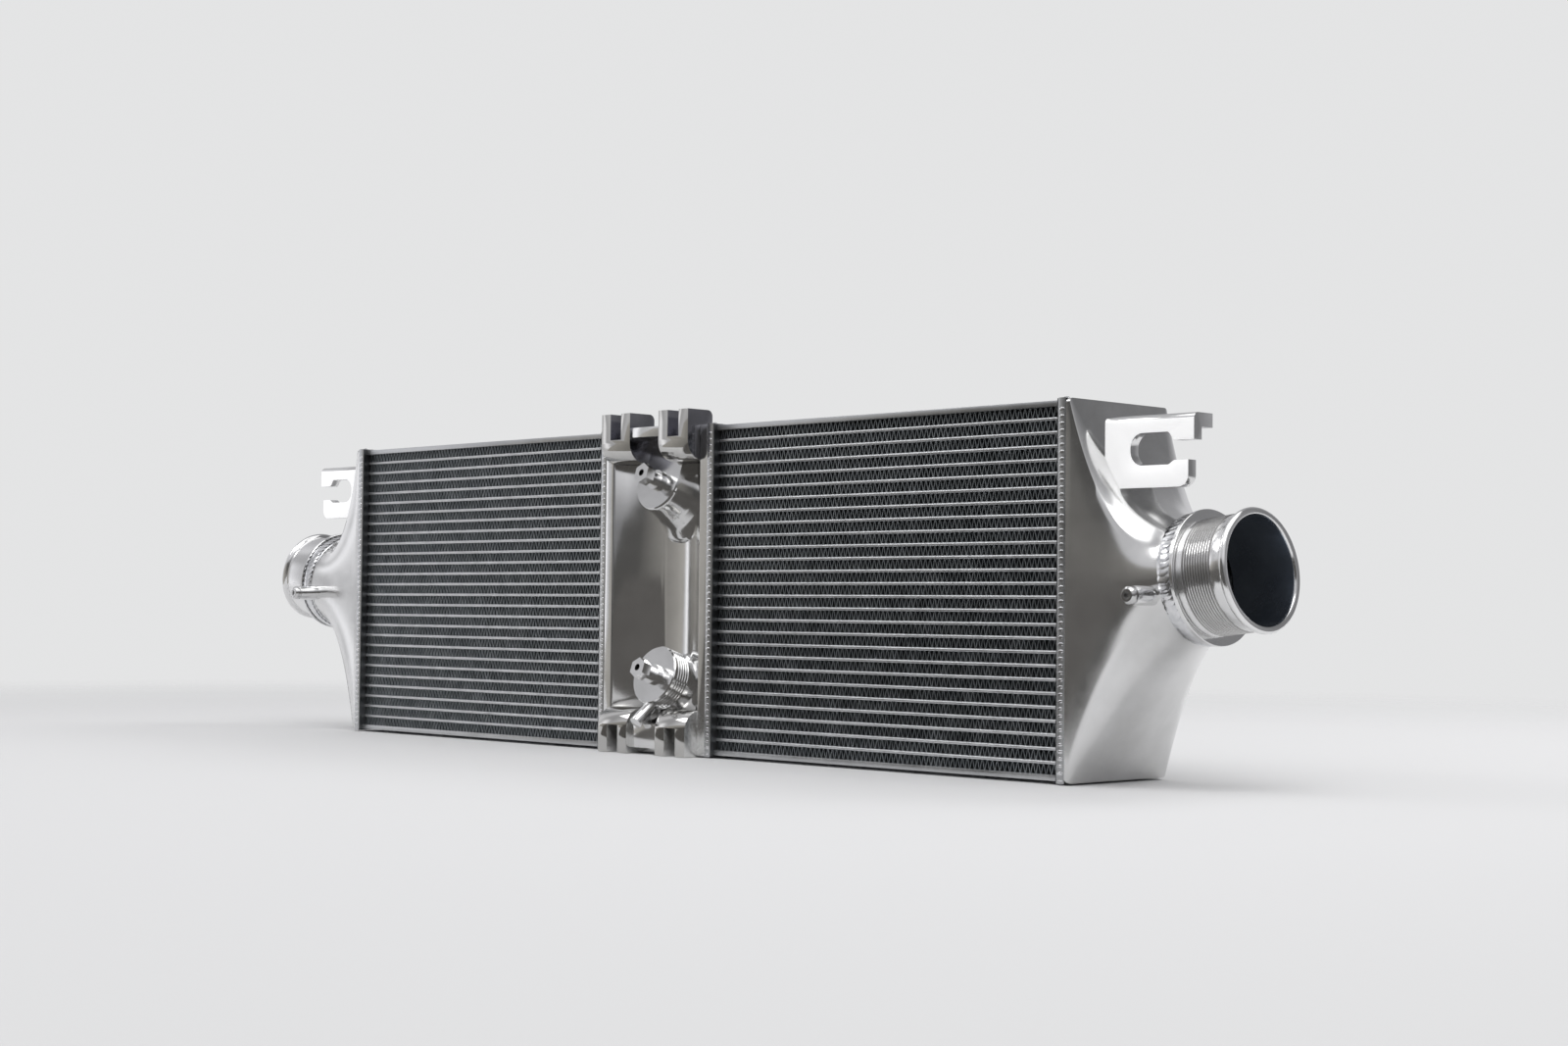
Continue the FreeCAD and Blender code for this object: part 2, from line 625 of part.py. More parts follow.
def drainStub():
    item = doc.addObject("Part::Cylinder", "DrainRod")
    bind(item, Radius="drainRadius", Height="drainLength")
    slope = math.radians(size("drainSlope"))
    way = FreeCAD.Vector(0, -math.cos(slope), -math.sin(slope))
    turn = FreeCAD.Rotation(FreeCAD.Vector(0, 0, 1), way)
    item.Placement = FreeCAD.Placement(FreeCAD.Vector(), turn)
    at(item, "0", f"{frontFace} + drainBack", "lowerPortHeight - drainDrop")
    return cut("DrainCut", item, lowerBoss)


keep("drain_stub", drainStub())


# Right end tank: a rectangle that runs into a round root turned up and forward
def neckAxis():
    up = math.radians(size("neckRise"))
    swing = math.radians(size("neckSwing"))
    return FreeCAD.Vector(math.cos(up) * math.cos(swing), -math.cos(up) * math.sin(swing), math.sin(up))


axis = neckAxis()
jointX = size("centreHalfWidth") + 2 * size("headerThick") + size("coreLength")
rootCentre = FreeCAD.Vector(jointX + size("rootOut"), -size("rootForward"), size("rootHeight"))
pointsPerSide = 5
bellShares = (0.25, 0.5, 0.75)


def arcPoints(centre, across, up, fromAngle, toAngle):
    """Points of an arc whose half axes are the vectors across and up."""
    points = []
    for k in range(pointsPerSide):
        turn = math.radians(fromAngle + (toAngle - fromAngle) * k / (pointsPerSide - 1))
        points.append(centre + across * math.cos(turn) + up * math.sin(turn))
    return points


def rimSides(x, inset, corner):
    """Rectangle with round corners in the plane X = x, as the points of four walls and four corners."""
    halfDepth = size("tankDepth") / 2 - inset
    halfHeight = size("tankHeight") / 2 - inset
    middle = FreeCAD.Vector(x, 0, size("standHeight") + size("tankHeight") / 2)
    across = FreeCAD.Vector(0, 1, 0)
    up = FreeCAD.Vector(0, 0, 1)
    centres = [middle + across * (a * (halfDepth - corner)) + up * (b * (halfHeight - corner))
               for a, b in ((1, 1), (-1, 1), (-1, -1), (1, -1))]
    corners = [arcPoints(c, across * corner, up * corner, 90 * k, 90 * (k + 1)) for k, c in enumerate(centres)]
    sides = []
    for k in range(4):
        start, end = corners[k - 1][-1], corners[k][0]
        sides.append([start + (end - start) * (n / (pointsPerSide - 1)) for n in range(pointsPerSide)])
        sides.append(corners[k])
    return sides


def roundSides(centre, halfDepth, halfHeight):
    """Round section square to the neck, in eight arcs that pair with the walls and corners of the rim."""
    up = (FreeCAD.Vector(0, 0, 1) - axis * axis.z).normalize()
    across = up.cross(axis)
    flat = size("flatAngle")
    sides = []
    for k in range(4):
        for fromAngle, toAngle in ((90 * k - flat, 90 * k + flat), (90 * k + flat, 90 * (k + 1) - flat)):
            sides.append(arcPoints(centre, across * halfDepth, up * halfHeight, fromAngle, toAngle))
    return sides


def rimWire(sides):
    walls = [Part.makeLine(side[0], side[-1]) for side in sides[0::2]]
    corners = [Part.Arc(side[0], side[2], side[-1]).toShape() for side in sides[1::2]]
    return Part.Wire([edge for pair in zip(walls, corners) for edge in pair])


def roundWire(sides):
    return Part.Wire([Part.Arc(side[0], side[2], side[-1]).toShape() for side in sides])


def bellWire(share, rim, waist, root):
    """Section of the bell: each point runs from the rim to the root, drawn in towards the waist."""
    edges = []
    for rimSide, waistSide, rootSide in zip(rim, waist, root):
        points = [a * (1 - share) ** 2 + b * (2 * share * (1 - share)) + c * share ** 2
                  for a, b, c in zip(rimSide, waistSide, rootSide)]
        curve = Part.BSplineCurve()
        curve.interpolate(points)
        edges.append(curve.toShape())
    return Part.Wire(edges)


def endTankForm(name, inset, corner, rootRadius):
    """Solid from the rim through the bell to the end of the root land."""
    waistCentre = rootCentre - axis * size("waistLength")
    waistCentre.y = -size("tankDepth") / 2 + size("waistHalfDepth")
    start = rimSides(jointX, inset, corner)
    rim = rimSides(jointX + size("skirtLength"), inset, corner)
    waist = roundSides(waistCentre, size("waistHalfDepth") - inset, size("waistHalfHeight") - inset)
    root = roundSides(rootCentre, rootRadius, rootRadius)
    end = roundSides(rootCentre + axis * size("rootLength"), rootRadius, rootRadius)
    bellWires = [bellWire(share, rim, waist, root) for share in bellShares]
    skirt = Part.makeLoft([rimWire(start), rimWire(rim)], True, True)
    bell = Part.makeLoft([rimWire(rim)] + bellWires + [roundWire(root)], True, False)
    land = Part.makeLoft([roundWire(root), roundWire(end)], True, True)
    item = doc.addObject("Part::Feature", name)
    item.Shape = skirt.fuse([bell, land])
    return item


endTankOuter = endTankForm("EndTankOuter", 0, size("rimRound"), size("rootRadius"))
endTankInner = endTankForm("EndTankInner", size("castWall"), size("innerRimRound"), size("boreRadius"))
keep("right_end_tank", cut("EndTankShell", endTankOuter, endTankInner))


# Hose necks, turned, all three alike
def hoseNeck(name):
    collarStart = "(rootLength + weldRingLength)"
    seatStart = f"({collarStart} + collarThick)"
    lipStart = f"({seatStart} + hoseLength)"
    neckEnd = f"({lipStart} + lipLength)"
    lipRound = "(lipLength / 4)"
    profile = [("boreRadius", "rootLength"), ("rootRadius", "rootLength"), ("rootRadius", collarStart),
               ("collarRadius", collarStart), ("collarRadius", seatStart), ("hoseRadius", seatStart),
               ("hoseRadius", lipStart), ("lipRadius", f"{lipStart} + {lipRound}"),
               ("lipRadius", f"{neckEnd} - {lipRound}"), (f"lipRadius - {lipRound}", neckEnd),
               (f"boreRadius + {lipRound}", neckEnd), ("boreRadius", f"{neckEnd} - {lipRound}")]
    return turned(name, profile)


def neckWeld(name):
    start = "(rootLength - weldRingOverlap)"
    end = "(rootLength + weldRingLength)"
    span = f"({end} - {start})"
    profile = [("rootRadius", start), ("rootRadius + 0.6 * weldRingCrown", f"{start} + 0.1 * {span}"),
               ("rootRadius + weldRingCrown", f"{start} + 0.4 * {span}"),
               ("rootRadius + weldRingCrown", f"{start} + 0.65 * {span}"),
               ("rootRadius + 0.6 * weldRingCrown", end), ("rootRadius", end)]
    return turned(name, profile)


rootPlace = (f"{endJoint} + rootOut", "-rootForward", "rootHeight")
keep("right_neck", pointAlong(hoseNeck("RightNeck"), axis, *rootPlace))
keep("right_neck_weld", pointAlong(neckWeld("RightNeckWeld"), axis, *rootPlace))
outletPlace = ("0", rearFace, "outletHeight")
rearDirection = FreeCAD.Vector(0, 1, 0)
keep("outlet_neck", pointAlong(hoseNeck("OutletNeck"), rearDirection, *outletPlace))
keep("outlet_neck_weld", pointAlong(neckWeld("OutletNeckWeld"), rearDirection, *outletPlace))

# The end tank with its neck trims the pieces that stand on it
tankWithNeck = fuse("TankWithNeck", endTankOuter, parts["right_neck_weld"], parts["right_neck"])


# Hook bracket: upright plate with a hook slot, a web behind it and a lug on the upper prong
def hookBracket():
    front = "(-bracketForward)"
    back = f"({front} + bracketThick)"
    top = f"({tankTop} - bracketDrop)"
    bottom = f"({top} - bracketHeight)"
    tip = f"({endJoint} + bracketReach)"
    mouthStart = f"({tip} - mouthLength)"
    wideEnd = f"({mouthStart} - mouthSlope)"
    closedEnd = f"({wideEnd} - hookLength)"
    foot = f"({closedEnd} - bracketRoot)"
    hookLow, hookHigh = f"({bottom} + hookRise)", f"({bottom} + hookRise + hookHeight)"
    mouthLow, mouthHigh = f"({bottom} + mouthRise)", f"({bottom} + mouthRise + mouthHeight)"
    lowerTip = f"({tip} - bracketShort)"
    outline = [(foot, bottom), (lowerTip, bottom), (lowerTip, mouthLow), (mouthStart, mouthLow),
               (wideEnd, hookLow), (closedEnd, hookLow), (closedEnd, hookHigh), (wideEnd, hookHigh),
               (mouthStart, mouthHigh), (tip, mouthHigh), (tip, top), (foot, top)]
    body = newBody("BracketPlate")
    sketch = loopSketch(body, "BracketOutline", "XZ", outline, offset="bracketForward")
    item = pad(body, sketch, "bracketThick")
    item.Reversed = True

    # corners of the outline as numbers, for the rounds to find their edges
    topZ = size("standHeight") + size("tankHeight") - size("bracketDrop")
    bottomZ = topZ - size("bracketHeight")
    tipX = jointX + size("bracketReach")
    mouthX = tipX - size("mouthLength")
    wideX = mouthX - size("mouthSlope")
    closedX = wideX - size("hookLength")
    hookZ = bottomZ + size("hookRise")
    mouthZ = bottomZ + size("mouthRise")

    def corners(*spots):
        def isCorner(point, edge):
            through = abs(edge.tangentAt(edge.FirstParameter).y) > 0.9
            return through and any(near(point.x, x) and near(point.z, z) for x, z in spots)
        return isCorner

    def topFront(point, edge):
        return along(edge) and near(point.y, -size("bracketForward")) and near(point.z, topZ)

    item = rounded(body, item, "HookEndRound", "hookRound",
                   corners((closedX, hookZ), (closedX, hookZ + size("hookHeight"))))
    item = rounded(body, item, "MouthRound", "mouthRound",
                   corners((wideX, hookZ), (mouthX, mouthZ), (wideX, hookZ + size("hookHeight")),
                           (mouthX, mouthZ + size("mouthHeight"))))
    item = rounded(body, item, "ProngRound", "prongRound", corners((tipX - size("bracketShort"), bottomZ)))
    rounded(body, item, "TopRound", "bracketTopRound", topFront)
    lug = block("HookLug", (f"{tip} - lugWidth", f"{back} - 1", f"{top} - lugHeight"),
                (tip, f"{back} + lugLength", top))
    web = block("BracketWeb", (foot, f"{back} - 1", f"{bottom} + footRise"),
                (f"{foot} + footLength", f"{back} + footDepth", f"{bottom} + footRise + footThick"))
    whole = fuse("BracketWhole", body, lug, web)
    return cut("BracketOnTank", whole, tankWithNeck)


keep("right_hook_bracket", hookBracket())


# Screw boss on the front of the root, with its socket screw
def forwardPart(item, back):
    """Place a turned body with its Z to the front, starting behind the tank face."""
    return pointAlong(item, FreeCAD.Vector(0, -1, 0), f"{endJoint} + screwOut", f"{frontFace} + {back}",
                      "rootHeight - screwDrop")


bossFace = "(screwBossRoot + screwBossReach)"
bossRod = turned("ScrewBoss", [("0", "0"), ("screwBossRadius", "0"), ("screwBossRadius", bossFace),
                               ("screwShank", bossFace), ("screwShank", f"{bossFace} - screwShankLength"),
                               ("0", f"{bossFace} - screwShankLength")])
forwardPart(bossRod, "screwBossRoot")
keep("right_screw_boss", cut("ScrewBossOnTank", bossRod, tankWithNeck))


def bossScrew():
    body = turned("BossScrew", [("0", f"{bossFace} - screwShankLength"),
                                ("screwShank", f"{bossFace} - screwShankLength"), ("screwShank", bossFace),
                                ("screwHeadRadius", bossFace),
                                ("screwHeadRadius", f"{bossFace} + 0.6 * screwHeadHeight"),
                                ("0.75 * screwHeadRadius", f"{bossFace} + screwHeadHeight"),
                                ("0", f"{bossFace} + screwHeadHeight")])
    half = "(screwSocket / 2)"
    corner = f"({half} / cos(30))"
    hexagon = [(half, f"-{corner} / 2"), (half, f"{corner} / 2"), ("0", corner),
               (f"-{half}", f"{corner} / 2"), (f"-{half}", f"-{corner} / 2"), ("0", f"-{corner}")]
    sketch = loopSketch(body, "SocketHexagon", "XY", hexagon, offset=f"{bossFace} + screwHeadHeight")
    pocket = body.newObject("PartDesign::Pocket", "Socket")
    pocket.Profile = sketch
    bind(pocket, Length="screwSocketDepth")
    return forwardPart(body, "screwBossRoot")


keep("right_boss_screw", bossScrew())

for rightName in [name for name in parts if name.startswith("right_")]:
    mirrored(rightName.replace("right_", "left_", 1), parts[rightName])

doc.recompute()

for item in doc.Objects:
    if "Invalid" in item.State or "Error" in item.State:
        raise RuntimeError(f"{item.Name} did not build: {item.State}")
for name, item in parts.items():
    if item.Shape.isNull() or not item.Shape.isValid():
        raise RuntimeError(f"{name} has no valid shape")

os.makedirs("parts", exist_ok=True)
for name, item in parts.items():
    item.Shape.exportStep(f"parts/{name}.step")
    box = item.Shape.BoundBox
    print(f"{name}: {len(item.Shape.Solids)} solids, {item.Shape.Volume:.0f} mm3,"
          f" X {box.XMin:.1f} {box.XMax:.1f} Y {box.YMin:.1f} {box.YMax:.1f} Z {box.ZMin:.1f} {box.ZMax:.1f}")
print(f"{len(parts)} sub-parts")
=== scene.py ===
import bmesh
import bpy
import math
from mathutils import Matrix, Vector


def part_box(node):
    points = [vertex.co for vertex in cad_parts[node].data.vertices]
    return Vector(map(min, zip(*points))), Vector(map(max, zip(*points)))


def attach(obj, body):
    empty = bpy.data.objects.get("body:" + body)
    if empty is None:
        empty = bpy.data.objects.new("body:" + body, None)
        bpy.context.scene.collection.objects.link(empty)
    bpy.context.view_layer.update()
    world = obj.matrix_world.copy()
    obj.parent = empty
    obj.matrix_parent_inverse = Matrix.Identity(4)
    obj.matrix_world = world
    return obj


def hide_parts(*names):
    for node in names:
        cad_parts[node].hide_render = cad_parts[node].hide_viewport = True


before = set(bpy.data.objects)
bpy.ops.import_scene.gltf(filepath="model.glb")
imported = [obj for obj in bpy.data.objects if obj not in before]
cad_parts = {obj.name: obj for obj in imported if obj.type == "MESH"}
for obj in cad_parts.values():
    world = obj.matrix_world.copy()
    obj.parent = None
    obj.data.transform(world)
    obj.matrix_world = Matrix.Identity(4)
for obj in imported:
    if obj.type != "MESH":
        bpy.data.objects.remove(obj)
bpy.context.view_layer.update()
scene = bpy.context.scene
mm = 0.001
sides = ("right", "left")
print("frame loaded:", len(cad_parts), "nodes")


# Material helpers
def newMaterial(name):
    material = bpy.data.materials.new(name)
    material.use_nodes = True
    nodes = material.node_tree.nodes
    nodes.clear()
    output = nodes.new("ShaderNodeOutputMaterial")
    shader = nodes.new("ShaderNodeBsdfPrincipled")
    material.node_tree.links.new(shader.outputs["BSDF"], output.inputs["Surface"])
    return material, shader


def addNode(material, kind, **values):
    node = material.node_tree.nodes.new(kind)
    for key, value in values.items():
        setattr(node, key, value)
    return node


def link(material, fromSocket, toSocket):
    material.node_tree.links.new(fromSocket, toSocket)


def patternAt(material, scale):
    # object coordinates, stretched by a mapping, in metres
    coords = addNode(material, "ShaderNodeTexCoord")
    mapping = addNode(material, "ShaderNodeMapping")
    mapping.inputs["Scale"].default_value = scale
    link(material, coords.outputs["Object"], mapping.inputs["Vector"])
    return mapping.outputs["Vector"]


def noiseOf(material, vector, scale, detail=3.0, roughness=0.5):
    noise = addNode(material, "ShaderNodeTexNoise")
    noise.inputs["Scale"].default_value = scale
    noise.inputs["Detail"].default_value = detail
    noise.inputs["Roughness"].default_value = roughness
    link(material, vector, noise.inputs["Vector"])
    return noise.outputs["Fac"]


def rangeOf(material, value, low, high, fromLow=0.3, fromHigh=0.7):
    remap = addNode(material, "ShaderNodeMapRange")
    remap.inputs["From Min"].default_value = fromLow
    remap.inputs["From Max"].default_value = fromHigh
    remap.inputs["To Min"].default_value = low
    remap.inputs["To Max"].default_value = high
    link(material, value, remap.inputs["Value"])
    return remap.outputs["Result"]


def rampOf(material, value, stops):
    ramp = addNode(material, "ShaderNodeValToRGB")
    elements = ramp.color_ramp.elements
    while len(elements) < len(stops):
        elements.new(0.5)
    for element, (place, colour) in zip(elements, stops):
        element.position = place
        element.color = (*colour, 1.0)
    link(material, value, ramp.inputs["Fac"])
    return ramp.outputs["Color"]


def bumpOf(material, height, strength, distance, base=None):
    bump = addNode(material, "ShaderNodeBump")
    bump.inputs["Strength"].default_value = strength
    bump.inputs["Distance"].default_value = distance
    link(material, height, bump.inputs["Height"])
    if base is not None:
        link(material, base, bump.inputs["Normal"])
    return bump.outputs["Normal"]


def metalMaterial(name, look):
    # bare aluminium: cloudy tone, cloudy gloss, fine scratches along one direction, soft waves; a look's glow
    # makes the tone shine, which is painted light
    material, shader = newMaterial(name)
    shader.inputs["Metallic"].default_value = look["metallic"]
    shader.inputs["Emission Strength"].default_value = look["glow"]
    plain = patternAt(material, (1, 1, 1))
    clouds = noiseOf(material, plain, look["cloudScale"], 4.0, 0.6)
    tone = rampOf(material, clouds, ((0.3, look["dark"]), (0.7, look["light"])))
    link(material, tone, shader.inputs["Base Color"])
    link(material, tone, shader.inputs["Emission Color"])
    grain = noiseOf(material, patternAt(material, look["grainStretch"]), look["grainScale"], 2.0, 0.6)
    gloss = rangeOf(material, clouds, *look["roughness"])
    worn = addNode(material, "ShaderNodeMath", operation="MULTIPLY_ADD")
    link(material, grain, worn.inputs[0])
    worn.inputs[1].default_value = look["grainGloss"]
    link(material, gloss, worn.inputs[2])
    link(material, worn.outputs["Value"], shader.inputs["Roughness"])
    waves = noiseOf(material, plain, look["waveScale"], 1.0, 0.4)
    soft = bumpOf(material, waves, look["waveStrength"], look["waveDepth"])
    fine = bumpOf(material, grain, look["grainStrength"], look["grainDepth"], soft)
    link(material, fine, shader.inputs["Normal"])
    return material


# Finishes: tones, gloss and grain of each, most of them a change of the polished one; some carry painted
# shade or a painted glow
polishedLook = {
    "metallic": 1.0, "glow": 0.0,
    "dark": (0.74, 0.74, 0.735), "light": (0.86, 0.86, 0.86), "cloudScale": 22.0,
    "roughness": (0.08, 0.15), "grainStretch": (1, 1, 26), "grainScale": 420.0, "grainGloss": 0.05,
    "waveScale": 30.0, "waveStrength": 0.10, "waveDepth": 0.0010,
    "grainStrength": 0.035, "grainDepth": 0.00006,
}
castLook = dict(polishedLook, grainStretch=(9, 1, 3), roughness=(0.11, 0.20), waveStrength=0.14,
                dark=(0.70, 0.70, 0.695), light=(0.84, 0.84, 0.84))
turnedLook = dict(polishedLook, grainStretch=(30, 1, 1), roughness=(0.10, 0.16), grainStrength=0.06,
                  waveStrength=0.02, dark=(0.80, 0.80, 0.80), light=(0.90, 0.90, 0.90))
milledLook = dict(polishedLook, grainStretch=(2, 2, 16), roughness=(0.18, 0.26), grainStrength=0.05,
                  waveStrength=0.03, dark=(0.72, 0.72, 0.71), light=(0.82, 0.82, 0.81))
# painted highlight: the plate faces are near white and glow, standing in for a softbox's light on brushed
# metal
plateGlowLook = dict(milledLook, metallic=0.3, glow=0.42, roughness=(0.42, 0.50), dark=(0.92, 0.92, 0.92),
                 light=(0.97, 0.97, 0.97))
sheetLook = dict(polishedLook, grainStretch=(1, 14, 14), roughness=(0.26, 0.38), grainStrength=0.08,
                 waveStrength=0.06, dark=(0.52, 0.53, 0.54), light=(0.64, 0.65, 0.66))
# painted shade: the headers are darkened as the shade in the recess between the weld bead and the fins
headerShadeLook = dict(sheetLook, dark=(0.14, 0.145, 0.15), light=(0.22, 0.225, 0.23))
tubeLook = dict(polishedLook, grainStretch=(1, 20, 20), roughness=(0.30, 0.42), grainStrength=0.10,
                cloudScale=60.0, waveStrength=0.03, dark=(0.58, 0.59, 0.60), light=(0.74, 0.75, 0.76))
foilLook = dict(polishedLook, grainStretch=(1, 1, 1), roughness=(0.34, 0.48), grainStrength=0.10,
                cloudScale=90.0, waveStrength=0.03, dark=(0.30, 0.33, 0.35), light=(0.50, 0.53, 0.55))
weldLook = dict(polishedLook, grainStretch=(1, 1, 1), roughness=(0.10, 0.20), grainScale=900.0,
                cloudScale=160.0, waveScale=420.0, waveStrength=0.20, waveDepth=0.0004,
                dark=(0.66, 0.67, 0.69), light=(0.86, 0.86, 0.87))
# painted shade: the bore is darkened as the shade inside the neck, with a faint painted glow standing in for
# its dim reflections
boreShadeGlowLook = dict(polishedLook, grainStretch=(30, 1, 1), roughness=(0.22, 0.32), grainStrength=0.06,
                glow=0.08, dark=(0.09, 0.105, 0.13), light=(0.15, 0.17, 0.20))
steelLook = dict(polishedLook, grainStretch=(1, 1, 1), roughness=(0.10, 0.18), grainStrength=0.05,
                 dark=(0.58, 0.58, 0.58), light=(0.76, 0.76, 0.76))
# painted shade: the groove floors are darkened as the shade in the grooves
grooveShadeLook = dict(turnedLook, roughness=(0.25, 0.34), dark=(0.34, 0.335, 0.33), light=(0.46, 0.455, 0.45))
mountLook = dict(polishedLook, grainStretch=(2, 2, 16), roughness=(0.04, 0.08), waveStrength=0.02,
                 grainStrength=0.03, dark=(0.54, 0.535, 0.52), light=(0.66, 0.655, 0.64))
# painted shade: the upper forks' faces that look along X, slot walls included, are darkened as the shade that
# falls on them
forkSideShadeLook = dict(mountLook, roughness=(0.10, 0.18), dark=(0.24, 0.24, 0.265), light=(0.38, 0.38, 0.41))

materials = {
    "polished": metalMaterial("polishedScoop", polishedLook),
    "cast": metalMaterial("polishedCasting", castLook),
    "turned": metalMaterial("turnedNeck", turnedLook),
    "milled": metalMaterial("milledMount", milledLook),
    "plate": metalMaterial("brushedPlate", plateGlowLook),
    "sheet": metalMaterial("rolledSheet", sheetLook),
    "shade": metalMaterial("shadedHeader", headerShadeLook),
    "tube": metalMaterial("drawnTube", tubeLook),
    "foil": metalMaterial("foldedFoil", foilLook),
    "weld": metalMaterial("weldBead", weldLook),
    "bore": metalMaterial("darkBore", boreShadeGlowLook),
    "steel": metalMaterial("darkSteel", steelLook),
    "groove": metalMaterial("grooveFloor", grooveShadeLook),
    "mount": metalMaterial("polishedMount", mountLook),
    "wall": metalMaterial("slotWall", forkSideShadeLook),
}
print("materials ready:", len(materials))


# Mesh helpers
def meshObject(name, mesh):
    item = bpy.data.objects.new(name, mesh)
    scene.collection.objects.link(item)
    return item


def shadeByAngle(build, degrees):
    limit = math.radians(degrees)
    for face in build.faces:
        face.smooth = True
    for edge in build.edges:
        sharp = len(edge.link_faces) != 2 or edge.calc_face_angle(0.0) > limit
        edge.smooth = not sharp


def finishMesh(name, build, material, degrees=32):
    bmesh.ops.recalc_face_normals(build, faces=build.faces)
    shadeByAngle(build, degrees)
    mesh = bpy.data.meshes.new(name)
    build.to_mesh(mesh)
    build.free()
    mesh.materials.append(material)
    return meshObject(name, mesh)


def settle(item, slotName, *nodes):
    # the piece rides with the part and stands for its nodes
    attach(item, "root")
    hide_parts(*nodes)


def mirrorMesh(item, name):
    # mirror image in the plane X = 0, with its faces turned the right way again
    mesh = item.data.copy()
    mesh.transform(Matrix.Scale(-1, 4, Vector((1, 0, 0))))
    mesh.flip_normals()
    return meshObject(name, mesh)


solidDress = {"mergeDistance": 1e-6, "flatAngle": 0.6, "sharpAngle": 28, "segments": 2, "facing": 0.97}


def dressedCopy(name, node, material, bevel=0.0, degrees=32):
    # a node's own solid, merged, with its sharp edges broken
    build = bmesh.new()
    build.from_mesh(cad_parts[node].data)
    bmesh.ops.remove_doubles(build, verts=build.verts, dist=solidDress["mergeDistance"])
    bmesh.ops.dissolve_limit(build, angle_limit=math.radians(solidDress["flatAngle"]), verts=build.verts,
                             edges=build.edges)
    if bevel > 0:
        limit = math.radians(solidDress["sharpAngle"])
        sharp = [e for e in build.edges if len(e.link_faces) == 2 and e.calc_face_angle(0.0) > limit]
        bmesh.ops.bevel(build, geom=sharp, offset=bevel * mm, segments=solidDress["segments"], profile=0.5,
                        affect="EDGES", clamp_overlap=True)
    bmesh.ops.triangulate(build, faces=[f for f in build.faces if len(f.verts) > 4])
    return finishMesh(name, build, material, degrees)


def paintFacing(item, axisNumber, material):
    # faces that look along one axis, either way, get another material
    item.data.materials.append(material)
    last = len(item.data.materials) - 1
    for face in item.data.polygons:
        if abs(face.normal[axisNumber]) > solidDress["facing"]:
            face.material_index = last


def ringsToMesh(name, rings, material, degrees=32):
    # closed skin over rings of points that have equal counts, the last ring joined to the first
    build = bmesh.new()
    rows = [[build.verts.new(p) for p in ring] for ring in rings]
    count = len(rows[0])
    for low, high in zip(rows, rows[1:] + rows[:1]):
        for k in range(count):
            after = (k + 1) % count
            build.faces.new((low[k], low[after], high[after], high[k]))
    return finishMesh(name, build, material, degrees)


def placeAlong(origin, direction):
    # moves a piece drawn along Z to an origin in millimetres and turns it to a direction
    turn = Vector((0, 0, 1)).rotation_difference(Vector(direction)).to_matrix().to_4x4()
    return Matrix.Translation(Vector(origin) * mm) @ turn


def turnedPiece(name, profile, origin, direction, material, steps):
    # closed profile of (radius, height) in millimetres, spun about a direction
    place = placeAlong(origin, direction)
    rings = []
    for radius, height in profile:
        ring = []
        for k in range(steps):
            turn = 2 * math.pi * k / steps
            local = Vector((radius * math.cos(turn), radius * math.sin(turn), height)) * mm
            ring.append(place @ local)
        rings.append(ring)
    return ringsToMesh(name, rings, material)


# Geometry node helpers
def newTree(name, inputs):
    tree = bpy.data.node_groups.new(name, "GeometryNodeTree")
    tree.interface.new_socket("Geometry", in_out="INPUT", socket_type="NodeSocketGeometry")
    tree.interface.new_socket("Geometry", in_out="OUTPUT", socket_type="NodeSocketGeometry")
    for label, kind in inputs:
        tree.interface.new_socket(label, in_out="INPUT", socket_type="NodeSocket" + kind)
    entry = tree.nodes.new("NodeGroupInput")
    leave = tree.nodes.new("NodeGroupOutput")
    return tree, entry, leave


def bakeTree(name, tree, values):
    # runs a tree on an empty mesh and keeps the plain result
    holder = meshObject(name + "Holder", bpy.data.meshes.new(name + "Holder"))
    modifier = holder.modifiers.new("nodes", "NODES")
    modifier.node_group = tree
    for socket in tree.interface.items_tree:
        if socket.in_out == "INPUT" and socket.name in values:
            modifier[socket.identifier] = values[socket.name]
    graph = bpy.context.evaluated_depsgraph_get()
    mesh = bpy.data.meshes.new_from_object(holder.evaluated_get(graph))
    mesh.name = name
    holder.modifiers.clear()
    bpy.data.objects.remove(holder)
    return meshObject(name, mesh)


def dropSource(item):
    bpy.data.objects.remove(item)


def closeTree(tree, entry, leave, instances):
    # every tree ends in Realize Instances and Set Material
    realize = tree.nodes.new("GeometryNodeRealizeInstances")
    paint = tree.nodes.new("GeometryNodeSetMaterial")
    tree.links.new(instances, realize.inputs["Geometry"])
    tree.links.new(realize.outputs["Geometry"], paint.inputs["Geometry"])
    tree.links.new(entry.outputs["Finish"], paint.inputs["Material"])
    tree.links.new(paint.outputs["Geometry"], leave.inputs["Geometry"])
    return tree


